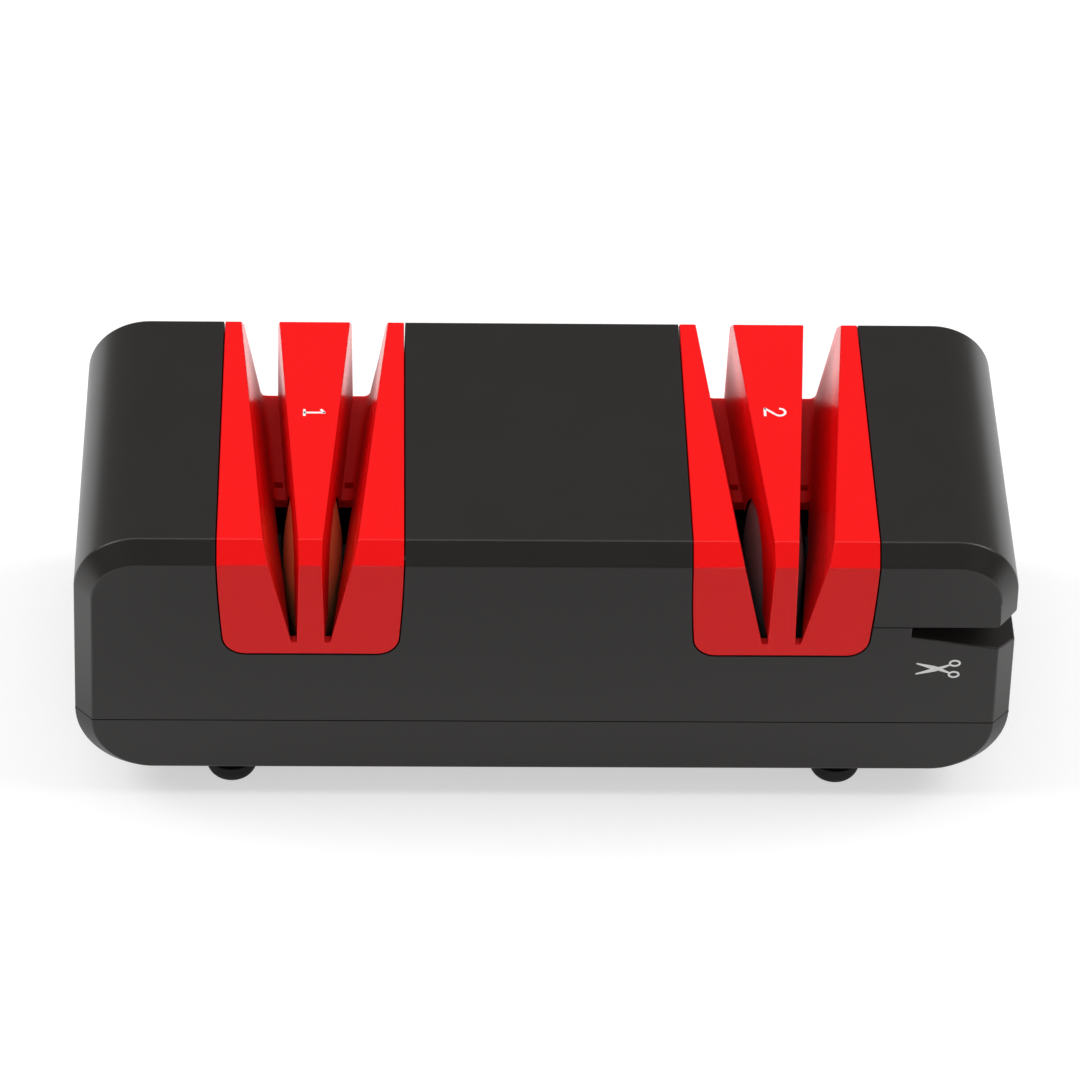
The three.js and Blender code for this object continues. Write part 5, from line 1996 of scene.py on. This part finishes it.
@dataclass
class Print(Assembly):
    """White numerals on the guides and the scissors sign on the front.

    Attributes:
        form: Outer form of the casing.
        sink: Foot of the print over the surface.
        lift: Top of the print over the surface.
        cross: How much higher the upper blade of the sign lies.
        numeral: Height of a numeral.
        stroke: Half the width of its strokes, in heights.
        overrun: How far a straight stroke runs past its ends, as a share of its length.
        numbers: Text, x and y of each numeral.
        sign: Place of the sign's pivot, x and z.
        blade: Tip of a blade, from the pivot.
        crossing: Where the blades cross.
        shank: Where a blade meets its handle.
        handle: Middle of a handle.
        handle_size: Half the length and half the height of a handle.
        handle_stroke: Half the width of its ring.
        blade_stroke: Half widths of a blade from tip to handle.
        points: Points on a straight stroke, a numeral's bow, a blade and a handle.
    """

    form: Form = field(default_factory=Form)
    sink: float = 0.004
    lift: float = 0.03
    cross: float = 0.004
    numeral: float = 5.0
    stroke: float = 0.062
    overrun: float = 0.03
    numbers: tuple[tuple[str, float, float], ...] = (("1", -56.6, 6.0), ("2", 56.8, 7.0))
    sign: Pair = (95.5, 43.6)
    blade: Pair = (-5.2, 1.75)
    crossing: Pair = (0.2, 0.0)
    shank: Pair = (2.9, -1.25)
    handle: Pair = (4.15, -1.85)
    handle_size: Pair = (1.2, 0.86)
    handle_stroke: float = 0.27
    blade_stroke: tuple[float, ...] = (0.2, 0.62, 0.45, 0.26)
    points: tuple[int, int, int, int] = (9, 15, 13, 33)

    def strokes(self, text: str) -> list[Array]:
        """Strokes of a numeral, in heights of the numeral: straight ends, or points of a bow.

        Args:
            text: The numeral.

        Returns:
            Points by 2 of each stroke.
        """
        turn = np.linspace(1.0, -0.28, self.points[1]) * np.pi
        bow = (0.27, 0.28) * arc((0.0, 0.0), 1.0, turn) + (0.0, 0.22)
        drawn = {
            "1": [[[-0.2, 0.3], [0.04, 0.5]], [[0.04, 0.5], [0.04, -0.5]], [[-0.2, -0.5], [0.28, -0.5]]],
            "2": [bow, [bow[-1], [-0.28, -0.5]], [[-0.28, -0.5], [0.3, -0.5]]],
        }
        paths = [np.array(stroke, float) for stroke in drawn[text]]
        along = np.linspace(-self.overrun, 1 + self.overrun, self.points[0])[:, None]
        return [path[0] + (path[1] - path[0]) * along if len(path) == 2 else path for path in paths]

    def number(self, text: str, x: float, y: float) -> Piece:
        """Numeral that lies on a guide: its right is to the front and its top to the right.

        Args:
            text: The numeral.
            x: Middle of its place.
            y: Middle of its place.

        Returns:
            The piece.
        """
        skin = Skin()
        for path in self.strokes(text):
            strip = ribbon(path, self.stroke) * self.numeral
            top = np.full(strip.shape[:2], self.form.top)
            flat = np.stack([x + strip[..., 1], y - strip[..., 0], top], -1)
            skin.grid(ridge(flat + (0, 0, self.sink), flat + (0, 0, self.lift)))
        return skin.build(f"numeral_{text}", smooth=False)

    def scissors(self) -> Piece:
        """Plain open scissors on the front: tapered blades that cross, and two ring handles.

        Returns:
            The sign.
        """
        skin, steps = Skin(), np.linspace(0, 1, self.points[2])
        turn = np.linspace(0, 2 * np.pi, self.points[3])
        width = np.interp(steps, [0, 0.4, 0.6, 1], self.blade_stroke)
        for up in (-1, 1):
            knots = np.array((self.blade, self.crossing, self.shank)) * (1, up)
            path = np.stack([np.interp(steps, [0, 0.5, 1], knots[:, i]) for i in (0, 1)], -1)
            ring = np.array(self.handle) * (1, up) + arc((0.0, 0.0), 1.0, turn) * self.handle_size
            face = -self.form.face_y - (self.cross if up > 0 else 0.0)
            for strip in (ribbon(path, width), ribbon(ring, self.handle_stroke)):
                y = np.full(strip.shape[:2], face)
                flat = np.stack([strip[..., 0] + self.sign[0], y, strip[..., 1] + self.sign[1]], -1)
                skin.grid(ridge(flat - (0, self.sink, 0), flat - (0, self.lift, 0)))
        return skin.build("scissors_sign", smooth=False)

    def build(self) -> None:
        """Builds the marks and hands them over."""
        for piece in (*(self.number(*number) for number in self.numbers), self.scissors()):
            self.hand_over(piece, "print_white", "casing")


@dataclass
class Mechanism(Assembly):
    """The solids that are shown as they are, each in its own finish.

    Attributes:
        drawers: Solids whose edges are rounded.
        rounding: Their rounding.
        merge: Distance within which their points are one, in metres.
    """

    drawers: tuple[str, ...] = ("coarse_dust_drawer", "fine_dust_drawer")
    rounding: Rounding = Rounding(0.35)
    merge: float = 1e-6

    def build(self) -> None:
        """Dresses every solid by its slot in the record and rounds the drawers' edges."""
        for part in frame["record"]["subparts"]:
            node = frame["nodes"][part["node"]]
            drawer = part["node"] in self.drawers
            self.paints.dress(node, "swarf_tray" if drawer else part["material_slot"])
            if drawer:
                node.modifiers.new("weld", "WELD").merge_threshold = self.merge
                made = bevel(node, self.rounding.width, self.rounding.segments, "ANGLE")
                made.angle_limit = math.radians(self.rounding.angle)
        log.info("%d solids dressed", len(frame["nodes"]))


# Studio


@dataclass(frozen=True)
class Lamp:
    """Soft rectangular lamp, in metres.

    Attributes:
        name: Its name.
        place: Where it hangs.
        size: Width and height.
        watts: Power.
        in_gloss: Shows in glossy surfaces.
        in_diffuse: Lights matt surfaces.
    """

    name: str
    place: Point
    size: Pair
    watts: float
    in_gloss: bool = True
    in_diffuse: bool = True

    def hang(self, aim: Point) -> None:
        """Adds the lamp and turns it towards a point.

        Args:
            aim: The point.
        """
        data = bpy.data.lights.new(self.name, "AREA")
        data.shape = "RECTANGLE"
        data.size, data.size_y = self.size
        data.energy = self.watts
        lamp = bpy.data.objects.new(self.name, data)
        lamp.location = self.place
        lamp.rotation_euler = (Vector(aim) - Vector(self.place)).to_track_quat("-Z", "Y").to_euler()
        lamp.visible_glossy, lamp.visible_diffuse = self.in_gloss, self.in_diffuse
        bpy.context.scene.collection.objects.link(lamp)


@dataclass
class Studio:
    """Pale floor, soft lamps and the photograph's camera.

    A ramp is the two places between which a level changes, in metres or as a
    share of the view's way, and the level at each.

    Attributes:
        eye: Camera place in millimetres.
        yaw: Turn of the view to the right, in degrees.
        pitch: Downward tilt of the view, in degrees.
        roll: Roll of the camera, in degrees.
        lens: Focal length for the sensor.
        sensor: Width of the sensor.
        floor_reach: Half the floor's width in millimetres.
        floor_paint: Colour of the floor, as one level.
        floor_glow: Ramp of the floor's own light, out from the middle.
        floor_gloss: Ramp of what gloss sees of the floor round the object.
        floor_shift: How far the middle of that ramp lies in front.
        front_gloss: Ramp of what gloss sees of the floor in front.
        room_gloss: Ramp of what gloss sees of the room, from front to back.
        room_fill: Level of the room's own light.
        aim: Point that the lamps face, in metres.
        lamps: The lamps.
    """

    eye: Point = (-41.15, -952.97, 881.29)
    yaw: float = 2.447
    pitch: float = 41.266
    roll: float = 1.898
    lens: float = 169.33
    sensor: float = 36.0
    floor_reach: float = 5000.0
    floor_paint: float = 0.55
    floor_glow: tuple[float, ...] = (0.15, 0.9, 0.52, 0.95)
    floor_gloss: tuple[float, ...] = (0.1, 0.18, 0.0, 0.7)
    floor_shift: float = 0.12
    front_gloss: tuple[float, ...] = (-0.115, -0.06, 0.0, 0.26)
    room_gloss: tuple[float, ...] = (-0.35, 0.55, 0.03, 0.2)
    room_fill: float = 0.3
    aim: Point = (0.0, 0.0, 0.05)
    lamps: tuple[Lamp, ...] = (
        Lamp("overhead", (0.0, 0.15, 1.5), (1.6, 0.9), 6.0),
        Lamp("left_key", (-1.3, 0.1, 1.3), (0.9, 0.9), 14.0),
        Lamp("right_key", (1.3, 0.1, 1.3), (0.9, 0.9), 14.0),
        Lamp("front_fill", (0.0, -1.5, 0.9), (1.2, 0.6), 5.0, in_gloss=False),
        Lamp("edge_light", (0.0, -0.25, 1.5), (2.0, 0.2), 1.5, in_diffuse=False),
    )

    def camera(self) -> None:
        """Sets the camera by its eye and its three turns."""
        yaw, pitch, roll = (math.radians(a) for a in (self.yaw, self.pitch, self.roll))
        ahead = Vector((math.sin(yaw) * math.cos(pitch), math.cos(yaw) * math.cos(pitch), -math.sin(pitch)))
        right = Vector((math.cos(yaw), -math.sin(yaw), 0.0))
        up = right.cross(ahead)
        side = right * math.cos(roll) + up * math.sin(roll)
        over = -right * math.sin(roll) + up * math.cos(roll)
        data = bpy.data.cameras.new("camera")
        data.lens, data.sensor_width = self.lens, self.sensor
        camera = bpy.data.objects.new("camera", data)
        turn = Matrix((side, over, -ahead)).transposed()
        camera.matrix_world = Matrix.Translation(Vector(self.eye) * MM) @ turn.to_4x4()
        bpy.context.scene.collection.objects.link(camera)
        bpy.context.scene.camera = camera

    def floor(self) -> None:
        """White floor that keeps the shadow."""
        ends = (-self.floor_reach, self.floor_reach)
        corners = np.array([[[x, y, 0.0] for x in ends] for y in ends])
        floor = Skin().grid(corners).build("floor", smooth=False)
        material = bpy.data.materials.new("white_floor")
        material.use_nodes = True
        tree = Tree(material.node_tree)
        nodes = material.node_tree.nodes
        nodes.remove(nodes["Principled BSDF"])
        paint = tree.add("BsdfDiffuse", {"Color": (*[self.floor_paint] * 3, 1.0)})
        rays = tree.add("LightPath").outputs
        spot = tree.add("TexCoord").outputs["Object"]
        place = tree.parts(spot)
        away = tree.maths("MAXIMUM", tree.maths("ABSOLUTE", place["X"]),
                          tree.maths("ADD", place["Y"], self.floor_shift))
        gloss = tree.maths("MAXIMUM", tree.smooth(away, *self.floor_gloss),
                           tree.smooth(place["Y"], *self.front_gloss))
        distance = tree.add("VectorMath", {0: spot}, operation="LENGTH").outputs["Value"]
        seen = tree.maths("MAXIMUM", rays["Is Camera Ray"], rays["Is Transmission Ray"])
        direct = tree.maths("MULTIPLY", seen, tree.smooth(distance, *self.floor_glow))
        level = tree.maths("MAXIMUM", direct, tree.maths("MULTIPLY", gloss, rays["Is Glossy Ray"]))
        glow = tree.add("Emission", {"Strength": level})
        both = tree.add("AddShader", {0: paint.outputs[0], 1: glow.outputs[0]})
        tree.give(nodes["Material Output"].inputs, Surface=both.outputs[0])
        floor.data.materials.append(material)

    def world(self) -> None:
        """White surroundings for the eye, and a room that is bright behind and dim in front for gloss."""
        world = bpy.data.worlds.new("studio")
        bpy.context.scene.world = world
        world.use_nodes = True
        tree = Tree(world.node_tree)
        background = world.node_tree.nodes["Background"].inputs
        rays = tree.add("LightPath").outputs
        way = tree.parts(tree.add("TexCoord").outputs["Generated"])
        gloss = tree.maths("MULTIPLY", rays["Is Glossy Ray"], tree.smooth(way["Y"], *self.room_gloss))
        seen = tree.maths("MAXIMUM", rays["Is Camera Ray"], rays["Is Transmission Ray"])
        fill = tree.maths("MULTIPLY", rays["Is Diffuse Ray"], self.room_fill)
        tree.give(background, Strength=tree.maths("MAXIMUM", tree.maths("MAXIMUM", seen, gloss), fill))
        background["Color"].default_value = (1.0, 1.0, 1.0, 1.0)

    def build(self) -> None:
        """Sets up the camera, the floor and the light."""
        self.camera()
        self.floor()
        self.world()
        for lamp in self.lamps:
            lamp.hang(self.aim)
        bpy.context.scene.view_settings.view_transform = "Standard"


def main() -> None:
    """Builds every assembly in order."""
    logging.basicConfig(level=logging.INFO, format="%(name)s: %(message)s")
    paints = Paintbox()
    Mechanism(paints).build()
    Casing(paints).build()
    for name, side in (("coarse", -1), ("fine", 1)):
        middle = side * GuideForm().spacing
        KnifeGuide(paints, name, middle).build()
        Wheel(paints, name, middle).build()
    ScissorsDisc(paints).build()
    Feet(paints).build()
    BackFittings(paints).build()
    Print(paints).build()
    Studio().build()


if __name__ == "__main__":
    main()
